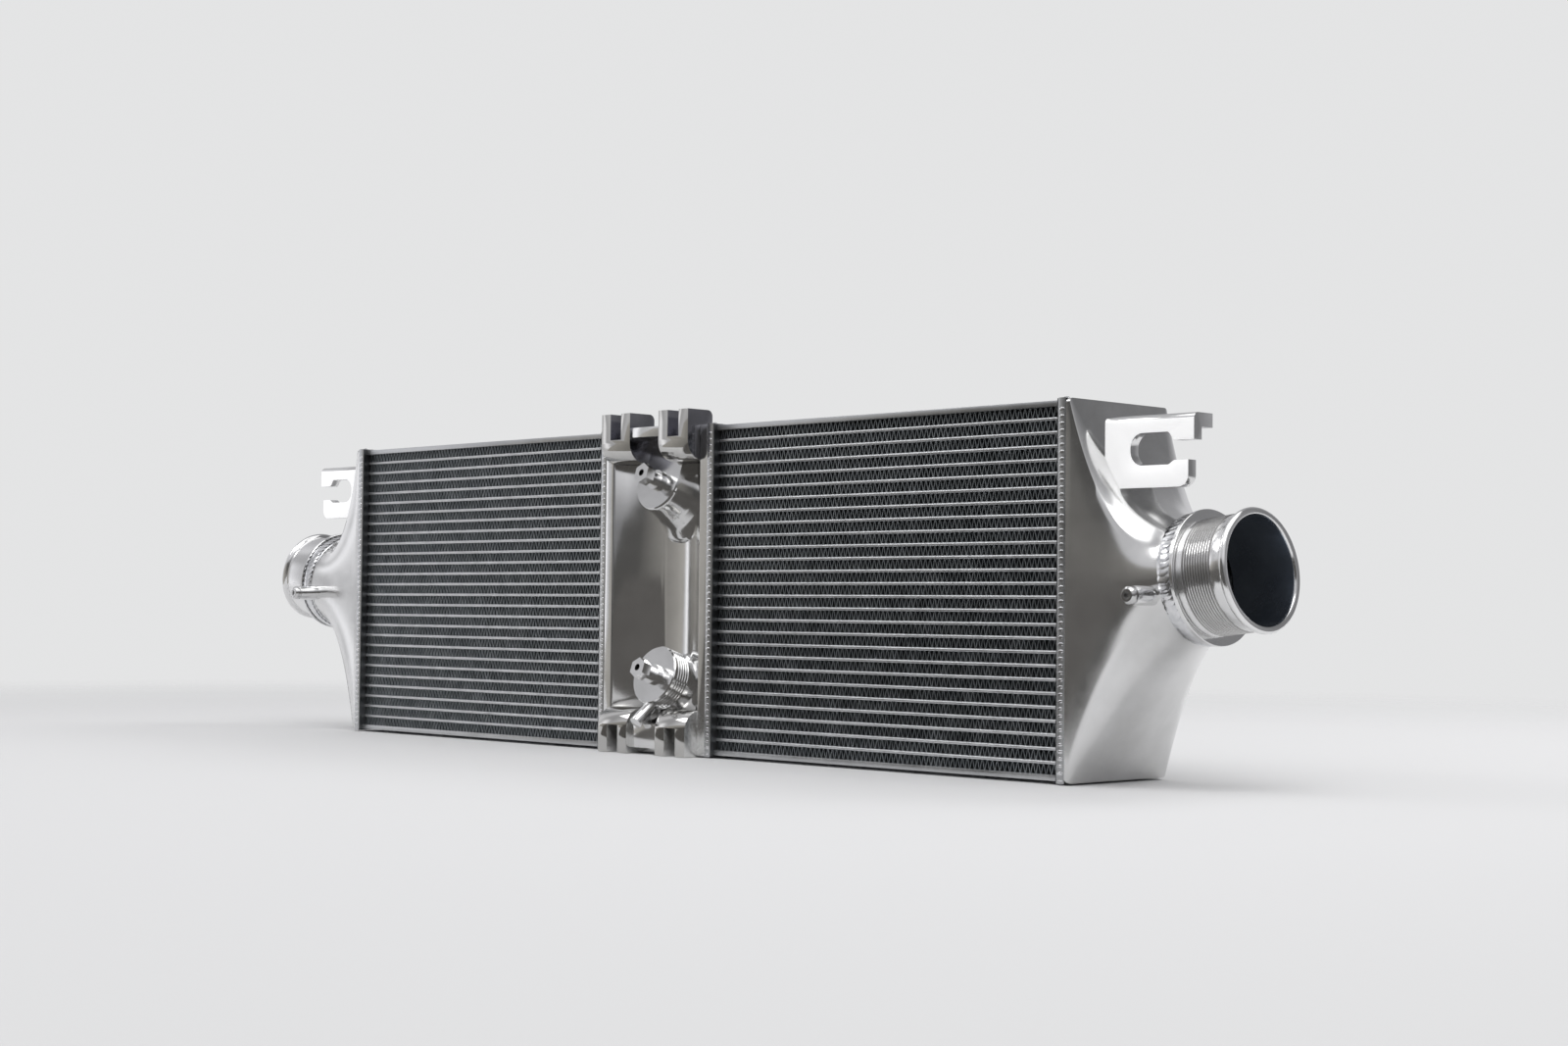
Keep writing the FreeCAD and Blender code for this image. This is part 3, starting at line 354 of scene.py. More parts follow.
def rowsTree():
    # copies of one object on a grid of columns along X and rows along Z
    inputs = (("Source", "Object"), ("Columns", "Int"), ("Rows", "Int"), ("Column Pitch", "Float"),
              ("Row Pitch", "Float"), ("Start", "Vector"), ("Finish", "Material"))
    tree, entry, leave = newTree("rowsOfPieces", inputs)
    nodes, links = tree.nodes, tree.links
    column = nodes.new("GeometryNodeMeshLine")
    column.mode = "OFFSET"
    row = nodes.new("GeometryNodeMeshLine")
    row.mode = "OFFSET"
    alongX = nodes.new("ShaderNodeCombineXYZ")
    alongZ = nodes.new("ShaderNodeCombineXYZ")
    source = nodes.new("GeometryNodeObjectInfo")
    place = nodes.new("GeometryNodeInstanceOnPoints")
    stack = nodes.new("GeometryNodeInstanceOnPoints")
    links.new(entry.outputs["Column Pitch"], alongX.inputs["X"])
    links.new(entry.outputs["Row Pitch"], alongZ.inputs["Z"])
    links.new(alongX.outputs[0], column.inputs["Offset"])
    links.new(alongZ.outputs[0], row.inputs["Offset"])
    links.new(entry.outputs["Columns"], column.inputs["Count"])
    links.new(entry.outputs["Rows"], row.inputs["Count"])
    links.new(entry.outputs["Start"], row.inputs["Start Location"])
    links.new(entry.outputs["Source"], source.inputs["Object"])
    links.new(column.outputs["Mesh"], place.inputs["Points"])
    links.new(source.outputs["Geometry"], place.inputs["Instance"])
    links.new(row.outputs["Mesh"], stack.inputs["Points"])
    links.new(place.outputs["Instances"], stack.inputs["Instance"])
    return closeTree(tree, entry, leave, stack.outputs["Instances"])


def rippleTree():
    # copies of one ripple along a closed path, each turned to the path, with small seeded changes of size
    inputs = (("Ripple", "Object"), ("Path", "Object"), ("Step", "Float"), ("Wander", "Float"),
              ("Seed", "Int"), ("Finish", "Material"))
    tree, entry, leave = newTree("weldRipples", inputs)
    nodes, links = tree.nodes, tree.links
    path = nodes.new("GeometryNodeObjectInfo")
    ripple = nodes.new("GeometryNodeObjectInfo")
    spaced = nodes.new("GeometryNodeResampleCurve")
    spaced.mode = "LENGTH"
    tangent = nodes.new("GeometryNodeInputTangent")
    turn = nodes.new("FunctionNodeAlignEulerToVector")
    turn.axis = "Y"
    turn.pivot_axis = "AUTO"
    size = nodes.new("FunctionNodeRandomValue")
    size.data_type = "FLOAT"
    size.inputs[3].default_value = 1.0  # largest size
    smallest = nodes.new("ShaderNodeMath")
    smallest.operation = "SUBTRACT"
    smallest.inputs[0].default_value = 1.0
    place = nodes.new("GeometryNodeInstanceOnPoints")
    links.new(entry.outputs["Path"], path.inputs["Object"])
    links.new(entry.outputs["Ripple"], ripple.inputs["Object"])
    links.new(path.outputs["Geometry"], spaced.inputs["Curve"])
    links.new(entry.outputs["Step"], spaced.inputs["Length"])
    links.new(tangent.outputs[0], turn.inputs["Vector"])
    links.new(entry.outputs["Wander"], smallest.inputs[1])
    links.new(smallest.outputs[0], size.inputs[2])
    links.new(entry.outputs["Seed"], size.inputs["Seed"])
    links.new(spaced.outputs["Curve"], place.inputs["Points"])
    links.new(ripple.outputs["Geometry"], place.inputs["Instance"])
    links.new(turn.outputs[0], place.inputs["Rotation"])
    links.new(size.outputs[1], place.inputs["Scale"])
    return closeTree(tree, entry, leave, place.outputs["Instances"])


rowsOfPieces = rowsTree()
weldRipples = rippleTree()

# Core: folded fins between round-nosed flat tubes
fin = {"foldPitch": 4.6, "foil": 0.42, "crest": 0.5, "flankShare": 1.3, "crestShare": 0.7,
       "noseDepth": 5.0, "innerDepth": 5.0, "gap": 0.4, "innerShift": 0.5, "middleShift": 0.25}
tube = {"rows": 26, "thick": 2.7, "wall": 0.4, "noseSteps": 6}


def foldSource(width, height, depth):
    # one fold of the foil as a thin closed strip: up one flank, over the crest and down the other
    build = bmesh.new()
    foil, crest = fin["foil"], fin["crest"]
    outer = [(0.0, 0.0), (width / 2 - crest, height), (width / 2 + crest, height), (width, 0.0)]
    foot, crown = foil * fin["flankShare"], crest - foil * fin["crestShare"]
    inner = [(width - foot, 0.0), (width / 2 + crown, height - foil), (width / 2 - crown, height - foil),
             (foot, 0.0)]
    loop = outer + inner
    front = [build.verts.new((x * mm, 0, z * mm)) for x, z in loop]
    back = [build.verts.new((x * mm, depth * mm, z * mm)) for x, z in loop]
    count = len(loop)
    for k in range(count):
        after = (k + 1) % count
        build.faces.new((front[k], front[after], back[after], back[k]))
    for ring in (front, back):
        for k in range(3):
            build.faces.new((ring[k], ring[k + 1], ring[count - 2 - k], ring[count - 1 - k]))
    return finishMesh("foldSource", build, materials["foil"], 20)


def coreFins(side):
    low, high = [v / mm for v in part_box(f"{side}_core_fins")]
    rows = tube["rows"] + 1
    rowHeight = (high.z - low.z - tube["rows"] * tube["thick"]) / rows
    columns = round((high.x - low.x) / fin["foldPitch"])
    pitch = (high.x - low.x) / columns
    depth = high.y - low.y
    nose, inner, gap = fin["noseDepth"], fin["innerDepth"], fin["gap"]
    # each layer's start from the front, its depth and its shift as a share of the pitch
    layers = ((0, nose, 0), (nose + gap, inner, fin["innerShift"]),
              (nose + inner + 2 * gap, depth - 2 * (nose + inner) - 4 * gap, fin["middleShift"]),
              (depth - nose, nose, 0))
    made = []
    for number, (start, length, shift) in enumerate(layers):
        source = foldSource(pitch, rowHeight, length)
        begin = Vector((low.x + shift * pitch, low.y + start, low.z)) * mm
        values = {"Source": source, "Columns": columns - (1 if shift else 0), "Rows": rows,
                  "Column Pitch": pitch * mm, "Row Pitch": (rowHeight + tube["thick"]) * mm,
                  "Start": begin, "Finish": materials["foil"]}
        made.append(bakeTree(f"{side}FoldedFins{number}", rowsOfPieces, values))
        dropSource(source)
    return made


def tubeSource(length, depth):
    # hollow flat tube with round noses, its lower front corner at the origin
    thick, wall, steps = tube["thick"], tube["wall"], tube["noseSteps"]

    def outline(radius):
        points = []
        for centre, first in ((thick / 2, 90), (depth - thick / 2, -90)):
            for k in range(steps + 1):
                turn = math.radians(first + 180 * k / steps)
                points.append((centre + radius * math.cos(turn), thick / 2 + radius * math.sin(turn)))
        return points

    build = bmesh.new()
    rings = []
    for x, radius in ((0, thick / 2), (length, thick / 2), (length, thick / 2 - wall), (0, thick / 2 - wall)):
        rings.append([build.verts.new((x * mm, y * mm, z * mm)) for y, z in outline(radius)])
    for low, high in zip(rings, rings[1:] + rings[:1]):
        for k in range(len(low)):
            after = (k + 1) % len(low)
            build.faces.new((low[k], low[after], high[after], high[k]))
    return finishMesh("tubeSource", build, materials["tube"], 40)


def coreTubes(side):
    low, high = [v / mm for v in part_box(f"{side}_core_tubes")]
    source = tubeSource(high.x - low.x, high.y - low.y)
    pitch = (high.z - low.z - tube["thick"]) / (tube["rows"] - 1)
    values = {"Source": source, "Columns": 1, "Rows": tube["rows"], "Column Pitch": 0.0,
              "Row Pitch": pitch * mm, "Start": low * mm, "Finish": materials["tube"]}
    made = bakeTree(f"{side}FlatTubes", rowsOfPieces, values)
    dropSource(source)
    return made


for side in sides:
    for layer in coreFins(side):
        settle(layer, "core_fin", f"{side}_core_fins")
    settle(coreTubes(side), "core_tube", f"{side}_core_tubes")
print("cores dressed")

# Weld beads: overlapping ripples along a path, over a plain root bead
bead = {"step": 4.8, "halfWidth": 3.7, "halfLength": 2.9, "crown": 0.95, "lean": 20.0,
        "rootRise": 0.35, "rootHalfWidth": 3.3, "rootTaper": 0.8, "wander": 0.08, "corner": 2.4,
        "cornerSteps": 4, "sunk": 0.62}


def rippleSource(halfWidth, halfLength, crown, lean):
    # one ripple: a low ellipsoid that leans back along the path
    build = bmesh.new()
    bmesh.ops.create_uvsphere(build, u_segments=12, v_segments=7, radius=1.0)
    squash = Matrix.Diagonal(Vector((halfWidth, halfLength, crown, 1.0)) * mm)
    squash[3][3] = 1.0
    tilt = Matrix.Rotation(math.radians(lean), 4, "X")
    bmesh.ops.transform(build, matrix=tilt @ squash, verts=build.verts)
    return finishMesh("rippleSource", build, materials["weld"], 60)


def pathObject(name, points):
    curve = bpy.data.curves.new(name, "CURVE")
    curve.dimensions = "3D"
    spline = curve.splines.new("POLY")
    spline.points.add(len(points) - 1)
    for point, place in zip(spline.points, points):
        point.co = (*place, 1.0)
    spline.use_cyclic_u = True
    item = bpy.data.objects.new(name, curve)
    scene.collection.objects.link(item)
    return item


def rectangleRing(x, halfWidth, low, high):
    # square-section ring in a plane X = x, between an inner and an outer rectangle
    rings = []
    for inset in (0.0, bead["rootRise"]):
        rings.append([(low.y - inset, low.z - inset), (high.y + inset, low.z - inset),
                      (high.y + inset, high.z + inset), (low.y - inset, high.z + inset)])
    inner, outer = rings
    top = halfWidth * bead["rootTaper"]
    layout = ((x - halfWidth, inner), (x + halfWidth, inner), (x + top, outer), (x - top, outer))
    return [[Vector((px, y, z)) * mm for y, z in ring] for px, ring in layout]


def jointBead(side, place):
    node = f"{side}_{place}_weld"
    low, high = [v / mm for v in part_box(node)]
    plateLow, plateHigh = [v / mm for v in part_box(f"{side}_{place}_header")]
    middle = (low.x + high.x) / 2
    root = ringsToMesh(node + "Root", rectangleRing(middle, bead["rootHalfWidth"], plateLow, plateHigh),
                       materials["sheet"])
    corner = bead["corner"]
    inset = corner + bead["sunk"]
    points = []
    front, rear = plateLow.y + inset, plateHigh.y - inset
    bottom, top = plateLow.z + inset, plateHigh.z - inset
    centres = ((rear, top, 0), (front, top, 90), (front, bottom, 180), (rear, bottom, 270))
    for y, z, first in centres:
        for k in range(bead["cornerSteps"] + 1):
            turn = math.radians(first + 90 * k / bead["cornerSteps"])
            points.append(Vector((middle, y + corner * math.cos(turn), z + corner * math.sin(turn))) * mm)
    path = pathObject(node + "Path", points)
    ripple = rippleSource(bead["halfWidth"], bead["halfLength"], bead["crown"], bead["lean"])
    values = {"Ripple": ripple, "Path": path, "Step": bead["step"] * mm, "Wander": bead["wander"],
              "Seed": len(node), "Finish": materials["weld"]}
    made = bakeTree(node + "Ripples", weldRipples, values)
    dropSource(ripple)
    dropSource(path)
    return made, root


for side in sides:
    for place in ("inner", "outer"):
        for piece in jointBead(side, place):
            settle(piece, "weld", f"{side}_{place}_weld")
print("header joints welded")

# Right end tank, mirrored for the left: a rim that runs in a bell into a round root
endTank = {
    "rimHalfDepth": 54.0, "skirt": 6.6, "rimRound": 3.0, "wall": 4.0, "rootOut": 79.6, "rootForward": 11.6,
    "rootHeight": 137.5, "rootRadius": 42.5, "rootLength": 3.0, "waistHalfDepth": 54.0,
    "waistHalfHeight": 58.5,
    "waistLength": 45.0, "flat": 28.0, "rise": 7.1, "swing": 1.7, "bore": 36.0,
    "across": 16, "around": 12, "along": 44,
}
rise, swing = math.radians(endTank["rise"]), math.radians(endTank["swing"])
sideways = math.cos(rise)
neckAxis = Vector((sideways * math.cos(swing), -sideways * math.sin(swing), math.sin(rise)))
rimLow, rimHigh = [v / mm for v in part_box("right_end_tank")]
jointX = rimLow.x
rootCentre = Vector((jointX + endTank["rootOut"], -endTank["rootForward"], endTank["rootHeight"]))


def rimRing(x, inset):
    # rounded rectangle in the plane X = x, its straight sides and its corners in even steps
    corner = endTank["rimRound"] - inset / 2
    middle = Vector((x, 0, (rimHigh.z + rimLow.z) / 2))
    straightY = endTank["rimHalfDepth"] - inset - corner
    straightZ = (rimHigh.z - rimLow.z) / 2 - inset - corner
    corners = ((1, 1), (-1, 1), (-1, -1), (1, -1))
    ring = []
    for k, (a, b) in enumerate(corners):
        first = math.radians(90 * k)
        outward = corner * Vector((0, math.cos(first), math.sin(first)))
        before = corners[k - 1]
        start = middle + Vector((0, before[0] * straightY, before[1] * straightZ)) + outward
        centre = middle + Vector((0, a * straightY, b * straightZ))
        for step in range(endTank["across"]):
            ring.append(start.lerp(centre + outward, step / endTank["across"]))
        for step in range(endTank["around"]):
            turn = math.radians(90 * k + 90 * step / endTank["around"])
            ring.append(centre + corner * Vector((0, math.cos(turn), math.sin(turn))))
    return ring


def roundRing(centre, halfDepth, halfHeight):
    # ellipse across the neck's axis, with as many points as the rim has
    up = (Vector((0, 0, 1)) - neckAxis * neckAxis.z).normalized() * halfHeight
    across = up.normalized().cross(neckAxis) * halfDepth
    ring = []
    flat = endTank["flat"]
    for k in range(4):
        spans = ((90 * k - flat, 2 * flat, endTank["across"]),
                 (90 * k + flat, 90 - 2 * flat, endTank["around"]))
        for first, span, count in spans:
            for step in range(count):
                turn = math.radians(first + span * step / count)
                ring.append(centre + across * math.cos(turn) + up * math.sin(turn))
    return ring


def tankSkin(inset, rootRadius):
    # rings from the joint to the end of the land; the bell is drawn in towards a waist
    rim = rimRing(jointX + endTank["skirt"], inset)
    waistCentre = rootCentre - neckAxis * endTank["waistLength"]
    waistCentre.y = endTank["waistHalfDepth"] - endTank["rimHalfDepth"]
    waist = roundRing(waistCentre, endTank["waistHalfDepth"] - inset, endTank["waistHalfHeight"] - inset)
    root = roundRing(rootCentre, rootRadius, rootRadius)
    rings = [rimRing(jointX, inset)]
    for k in range(endTank["along"] + 1):
        share = k / endTank["along"]
        rings.append([a.lerp(b, share).lerp(b.lerp(c, share), share) for a, b, c in zip(rim, waist, root)])
    rings.append(roundRing(rootCentre + neckAxis * endTank["rootLength"], rootRadius, rootRadius))
    return [[p * mm for p in ring] for ring in rings]


def endTankShell():
    outer = tankSkin(0.0, endTank["rootRadius"])
    inner = tankSkin(endTank["wall"], endTank["bore"])
    return ringsToMesh("rightEndTank", outer + inner[::-1], materials["cast"], degrees=38)


rightTank = endTankShell()
settle(rightTank, "tank", "right_end_tank")
settle(mirrorMesh(rightTank, "leftEndTank"), "tank", "left_end_tank")
print("end tanks dressed")

# Hose necks: collar, machined grooves, plain band and rolled lip
neck = {
    "base": 3.0, "weld": 10.0, "collar": 3.0, "seat": 33.0, "lip": 4.7, "steps": 112,
    "bore": 36.0, "root": 42.5, "collarRadius": 45.5, "hose": 39.0, "lipRadius": 41.4,
    "rootGap": 0.3, "collarEdge": 0.4, "seatDrop": 0.2, "lipStep": 0.2, "boreReach": 0.2,
    "grooves": 11, "grooveStart": 1.4, "groovePitch": 2.1, "grooveDepth": 0.8, "grooveShade": 0.38,
    "grooveShares": (0.12, 0.36, 0.62, 0.84),  # where the crest starts and ends, then the floor
    "band": ((0.1, 7.0), (0.5, 3.0), (0.4, 1.2)),  # below the hose seat, before the lip
    "lipBack": ((0.4, 0.7), (0.0, 1.8)),  # below the lip's radius, after its start
    "lipFront": ((0.0, 1.9), (0.6, 0.7), (1.6, 0.0)),  # below the lip's radius, before the end
    "mouth": ((1.9, 0.0), (0.9, 0.5), (0.0, 2.2)),  # outside the bore, before the end
}


def neckProfile(grooved):
    # (radius, height) pairs from the base to the mouth
    collarStart = neck["base"] + neck["weld"]
    seat = collarStart + neck["collar"]
    lip = seat + neck["seat"]
    end = lip + neck["lip"]
    edge = neck["collarEdge"]
    root = neck["root"] - neck["rootGap"]
    collar = neck["collarRadius"]
    hose = neck["hose"]
    points = [(neck["bore"], neck["base"]), (root, neck["base"]), (root, collarStart),
              (collar - edge, collarStart), (collar, collarStart + edge), (collar, seat - edge),
              (collar - edge, seat), (hose - neck["seatDrop"], seat)]
    if grooved:
        floor = hose - neck["grooveDepth"]
        for k in range(neck["grooves"]):
            start = seat + neck["grooveStart"] + k * neck["groovePitch"]
            heights = [start + share * neck["groovePitch"] for share in neck["grooveShares"]]
            points.append((hose - neck["seatDrop"], start))
            points += zip((hose, hose, floor, floor), heights)
    points += [(hose - drop, lip - back) for drop, back in neck["band"]]
    points.append(((hose + neck["lipRadius"]) / 2, lip - neck["lipStep"]))
    points += [(neck["lipRadius"] - drop, lip + after) for drop, after in neck["lipBack"]]
    points += [(neck["lipRadius"] - drop, end - back) for drop, back in neck["lipFront"]]
    points += [(neck["bore"] + over, end - back) for over, back in neck["mouth"]]
    return points


def hoseNeck(name, origin, direction, grooved):
    # turned neck; painted shade darkens its bore, which also gets a faint painted glow, and painted shade
    # darkens its groove floors
    item = turnedPiece(name, neckProfile(grooved), origin, direction, materials["turned"], neck["steps"])
    item.data.materials.append(materials["bore"])
    item.data.materials.append(materials["groove"])
    seatStart = (neck["base"] + neck["weld"] + neck["collar"] + neck["grooveStart"]) * mm
    seatEnd = seatStart + neck["grooves"] * neck["groovePitch"] * mm
    grooveReach = (neck["hose"] - neck["grooveShade"]) * mm
    boreReach = (neck["bore"] + neck["boreReach"]) * mm
    back = placeAlong(origin, direction).inverted()
    for face in item.data.polygons:
        centre = back @ face.center
        reach = math.hypot(centre.x, centre.y)
        # faces on the bore's wall get the painted shade and faint glow
        if reach < boreReach:
            face.material_index = 1
        # faces on the groove floors get the painted shade
        elif grooved and seatStart < centre.z < seatEnd and reach < grooveReach:
            face.material_index = 2
    return item


settle(hoseNeck("rightHoseNeck", rootCentre, neckAxis, True), "turned", "right_neck")
leftNeck = hoseNeck("leftNeckSource", rootCentre, neckAxis, False)
settle(mirrorMesh(leftNeck, "leftHoseNeck"), "turned", "left_neck")
dropSource(leftNeck)
outletLow, outletHigh = [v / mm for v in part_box("outlet_neck")]
outletOrigin = Vector((0, outletLow.y - neck["base"], (outletLow.z + outletHigh.z) / 2))
settle(hoseNeck("outletHoseNeck", outletOrigin, (0, 1, 0), True), "turned", "outlet_neck")

# Neck welds: a row of wide ripples over a rounded root ring
neckWeld = {
    "start": 1.0, "end": 13.0, "crown": 2.4, "sink": 0.2, "foot": 0.5, "shoulder": 1.5, "saddle": 1.3,
    "footShare": 0.05, "sideShare": 0.3, "ringSteps": 96, "pathSteps": 72, "middle": 7.2, "step": 5.0,
    "halfWidth": 5.4, "halfLength": 4.8, "rippleCrown": 0.7, "lean": 7.5, "sunk": 1.35,
}


def radialRipple():
    # ripple for a path in the XY plane: its width runs along Z
    item = rippleSource(neckWeld["halfWidth"], neckWeld["halfLength"], neckWeld["rippleCrown"],
                        neckWeld["lean"])
    item.data.transform(Matrix.Rotation(math.radians(90), 4, "Y"))
    return item


def neckWeldRing(name, origin, direction):
    # a root ring in a low double arch, and the ripples that lie on it
    base, top = neck["root"], neck["root"] + neckWeld["crown"]
    low, high = neckWeld["start"], neckWeld["end"]
    foot = neckWeld["footShare"] * (high - low)
    flank = neckWeld["sideShare"] * (high - low)
    profile = [(base - neckWeld["sink"], low), (base + neckWeld["foot"], low + foot),
               (top - neckWeld["shoulder"], low + flank), (top - neckWeld["saddle"], (low + high) / 2),
               (top - neckWeld["shoulder"], high - flank), (base + neckWeld["foot"], high - foot),
               (base - neckWeld["sink"], high)]
    ring = turnedPiece(name + "Ring", profile, origin, direction, materials["weld"], neckWeld["ringSteps"])
    radius = top - neckWeld["sunk"]
    points = []
    for k in range(neckWeld["pathSteps"]):
        turn = 2 * math.pi * k / neckWeld["pathSteps"]
        points.append(Vector((radius * math.cos(turn), radius * math.sin(turn), neckWeld["middle"])) * mm)
    path = pathObject(name + "Path", points)
    ripple = radialRipple()
    values = {"Ripple": ripple, "Path": path, "Step": neckWeld["step"] * mm, "Wander": bead["wander"],
              "Seed": len(name), "Finish": materials["weld"]}
    rippled = bakeTree(name + "Ripples", weldRipples, values)
    rippled.data.transform(placeAlong(origin, direction))
    dropSource(ripple)
    dropSource(path)
    return ring, rippled


for side in sides:
    for piece in neckWeldRing(f"{side}NeckWeld", rootCentre, neckAxis):
        if side == "left":
            mirrored = mirrorMesh(piece, piece.name + "Mirrored")
            dropSource(piece)
            piece = mirrored
        settle(piece, "weld", f"{side}_neck_weld")
for piece in neckWeldRing("outletNeckWeld", outletOrigin, (0, 1, 0)):
    settle(piece, "weld", "outlet_neck_weld")
print("necks dressed")

# Pieces that keep their own solid, with broken edges
edgeBreak = {"fork": 0.7, "bracket": 0.6, "plate": 0.4, "tank": 0.6, "screw": 0.3, "stub": 0.4}
for side in sides:
    for level in ("upper", "lower"):
        node = f"{level}_{side}_fork"
        fork = dressedCopy(node + "Milled", node, materials["mount"], edgeBreak["fork"])
        # upper forks: painted shade on the faces that look along X; lower forks keep the milled finish there
        paintFacing(fork, 0, materials["wall" if level == "upper" else "milled"])
        settle(fork, "machined", node)
    node = f"{side}_hook_bracket"
    bracket = dressedCopy(node + "Brushed", node, materials["polished"], edgeBreak["bracket"])
    # painted highlight: the bracket's faces that look along Y glow near white
    paintFacing(bracket, 1, materials["plate"])
    settle(bracket, "machined", node)
    for node in (f"{side}_core_top_plate", f"{side}_core_bottom_plate"):
        settle(dressedCopy(node + "Rolled", node, materials["sheet"], edgeBreak["plate"]), "plate", node)
    for place in ("inner", "outer"):
        node = f"{side}_{place}_header"
        # headers get the painted shade finish
        settle(dressedCopy(node + "Rolled", node, materials["shade"]), "plate", node)
    node = f"{side}_screw_boss"
    settle(dressedCopy(node + "Turned", node, materials["turned"]), "machined", node)
    node = f"{side}_boss_screw"
    settle(dressedCopy(node + "Steel", node, materials["steel"], edgeBreak["screw"]), "screw", node)
settle(dressedCopy("centreTankPolished", "centre_tank", materials["polished"], edgeBreak["tank"], degrees=40),
       "tank", "centre_tank")
for level in ("upper", "lower"):
    node = f"{level}_port_boss"
    settle(dressedCopy(node + "Milled", node, materials["polished"], degrees=40), "machined", node)
    node = f"{level}_port_fitting"
    settle(dressedCopy(node + "Turned", node, materials["turned"]), "fitting", node)
settle(dressedCopy("drainStubTurned", "drain_stub", materials["turned"], edgeBreak["stub"]), "fitting",
       "drain_stub")
print("mounts and bosses dressed")

# Floor, fading into the pale surround; what the metal mirrors changes with the direction.
# Each stop is an azimuth in degrees from +X, the tone near the horizon and the tone above it
studio = {
    "floor": (0.82, 0.82, 0.82), "surround": (0.775, 0.778, 0.782), "fadeStart": 0.75, "fadeEnd": 2.0,
    "floorSize": 6.0, "floorRoughness": 0.8, "floorDrop": 0.0002,
    "turnStart": 0.22, "turnEnd": 0.45, "cool": 1.03,
    "around": ((-180, 0.95, 0.62), (-168, 0.92, 0.70), (-161, 0.60, 0.45), (-154, 1.30, 0.42),
               (-147, 0.50, 0.42), (-130, 0.62, 0.70), (-112, 0.50, 0.60), (-98, 0.30, 0.60),
               (-75, 0.17, 0.50), (-50, 0.20, 0.80), (-20, 0.22, 0.60), (5, 0.22, 0.40), (50, 0.20, 0.18),
               (80, 0.40, 0.20), (110, 0.66, 0.34), (140, 0.62, 0.44), (165, 0.80, 0.50),
               (180, 0.95, 0.62)),
}
cards = {
    "frontCard": {"x": (-0.85, 1.05), "foot": (-0.38, 0.002), "head": (-1.15, 0.60), "blend": (-0.65, 0.25),
                  "left": (0.40, 0.385, 0.36), "right": (0.085, 0.083, 0.08)},
    "lowCard": {"x": (-0.14, 0.34), "foot": (-0.12, 0.002), "head": (-0.46, 0.16), "blend": (0, 1),
                "left": (0.11, 0.105, 0.10), "right": (0.11, 0.105, 0.10)},
}
softboxes = {
    "overhead": {"place": (0.6, -0.2, 2.6), "target": (0, 0, 0.13), "size": (3.0, 2.4), "power": 26},
    "key": {"place": (-1.10, -1.05, 1.62), "target": (0.3, 0, 0.15), "size": (0.75, 0.55), "power": 4.0},
    "frontRight": {"place": (1.10, -0.75, 1.80), "target": (0.3, 0, 0.15), "size": (0.9, 0.7), "power": 3.5},
    "rear": {"place": (0.7, 1.7, 2.0), "target": (0.6, 0.4, 0), "size": (1.4, 1.0), "power": 14},
}
unmirrored = ("rear",)  # lights that polished metal doesn't show


def stageMesh(name, build, material):
    mesh = bpy.data.meshes.new(name)
    build.to_mesh(mesh)
    build.free()
    mesh.materials.append(material)
    return meshObject(name, mesh)


def studioFloor():
    # matt floor that turns clear with the distance from the part
    build = bmesh.new()
    bmesh.ops.create_grid(build, x_segments=1, y_segments=1, size=studio["floorSize"])
    material, shader = newMaterial("paleFloor")
    shader.inputs["Base Color"].default_value = (*studio["floor"], 1)
    shader.inputs["Roughness"].default_value = studio["floorRoughness"]
    shader.inputs["Specular IOR Level"].default_value = 0.0
    length = addNode(material, "ShaderNodeVectorMath", operation="LENGTH")
    fade = addNode(material, "ShaderNodeMapRange", interpolation_type="SMOOTHSTEP")
    fade.inputs["From Min"].default_value = studio["fadeStart"]
    fade.inputs["From Max"].default_value = studio["fadeEnd"]
    clear = addNode(material, "ShaderNodeBsdfTransparent")
    mix = addNode(material, "ShaderNodeMixShader")
    output = material.node_tree.nodes["Material Output"]
    link(material, patternAt(material, (1, 1, 1)), length.inputs[0])
    link(material, length.outputs["Value"], fade.inputs["Value"])
    link(material, fade.outputs["Result"], mix.inputs["Fac"])
    link(material, shader.outputs["BSDF"], mix.inputs[1])
    link(material, clear.outputs["BSDF"], mix.inputs[2])
    link(material, mix.outputs["Shader"], output.inputs["Surface"])
    floor = stageMesh("studioFloor", build, material)
    floor.location.z = -studio["floorDrop"]


def toneRing(tree, stops, height):
    # tones round the horizon as a ramp; height 1 is near the horizon and height 2 above it
    ramp = tree.nodes.new("ShaderNodeValToRGB")
    elements = ramp.color_ramp.elements
    while len(elements) < len(stops):
        elements.new(0.5)
    for element, stop in zip(elements, stops):
        element.position = (stop[0] + 180) / 360
        element.color = (stop[height], stop[height], stop[height] * studio["cool"], 1)
    return ramp


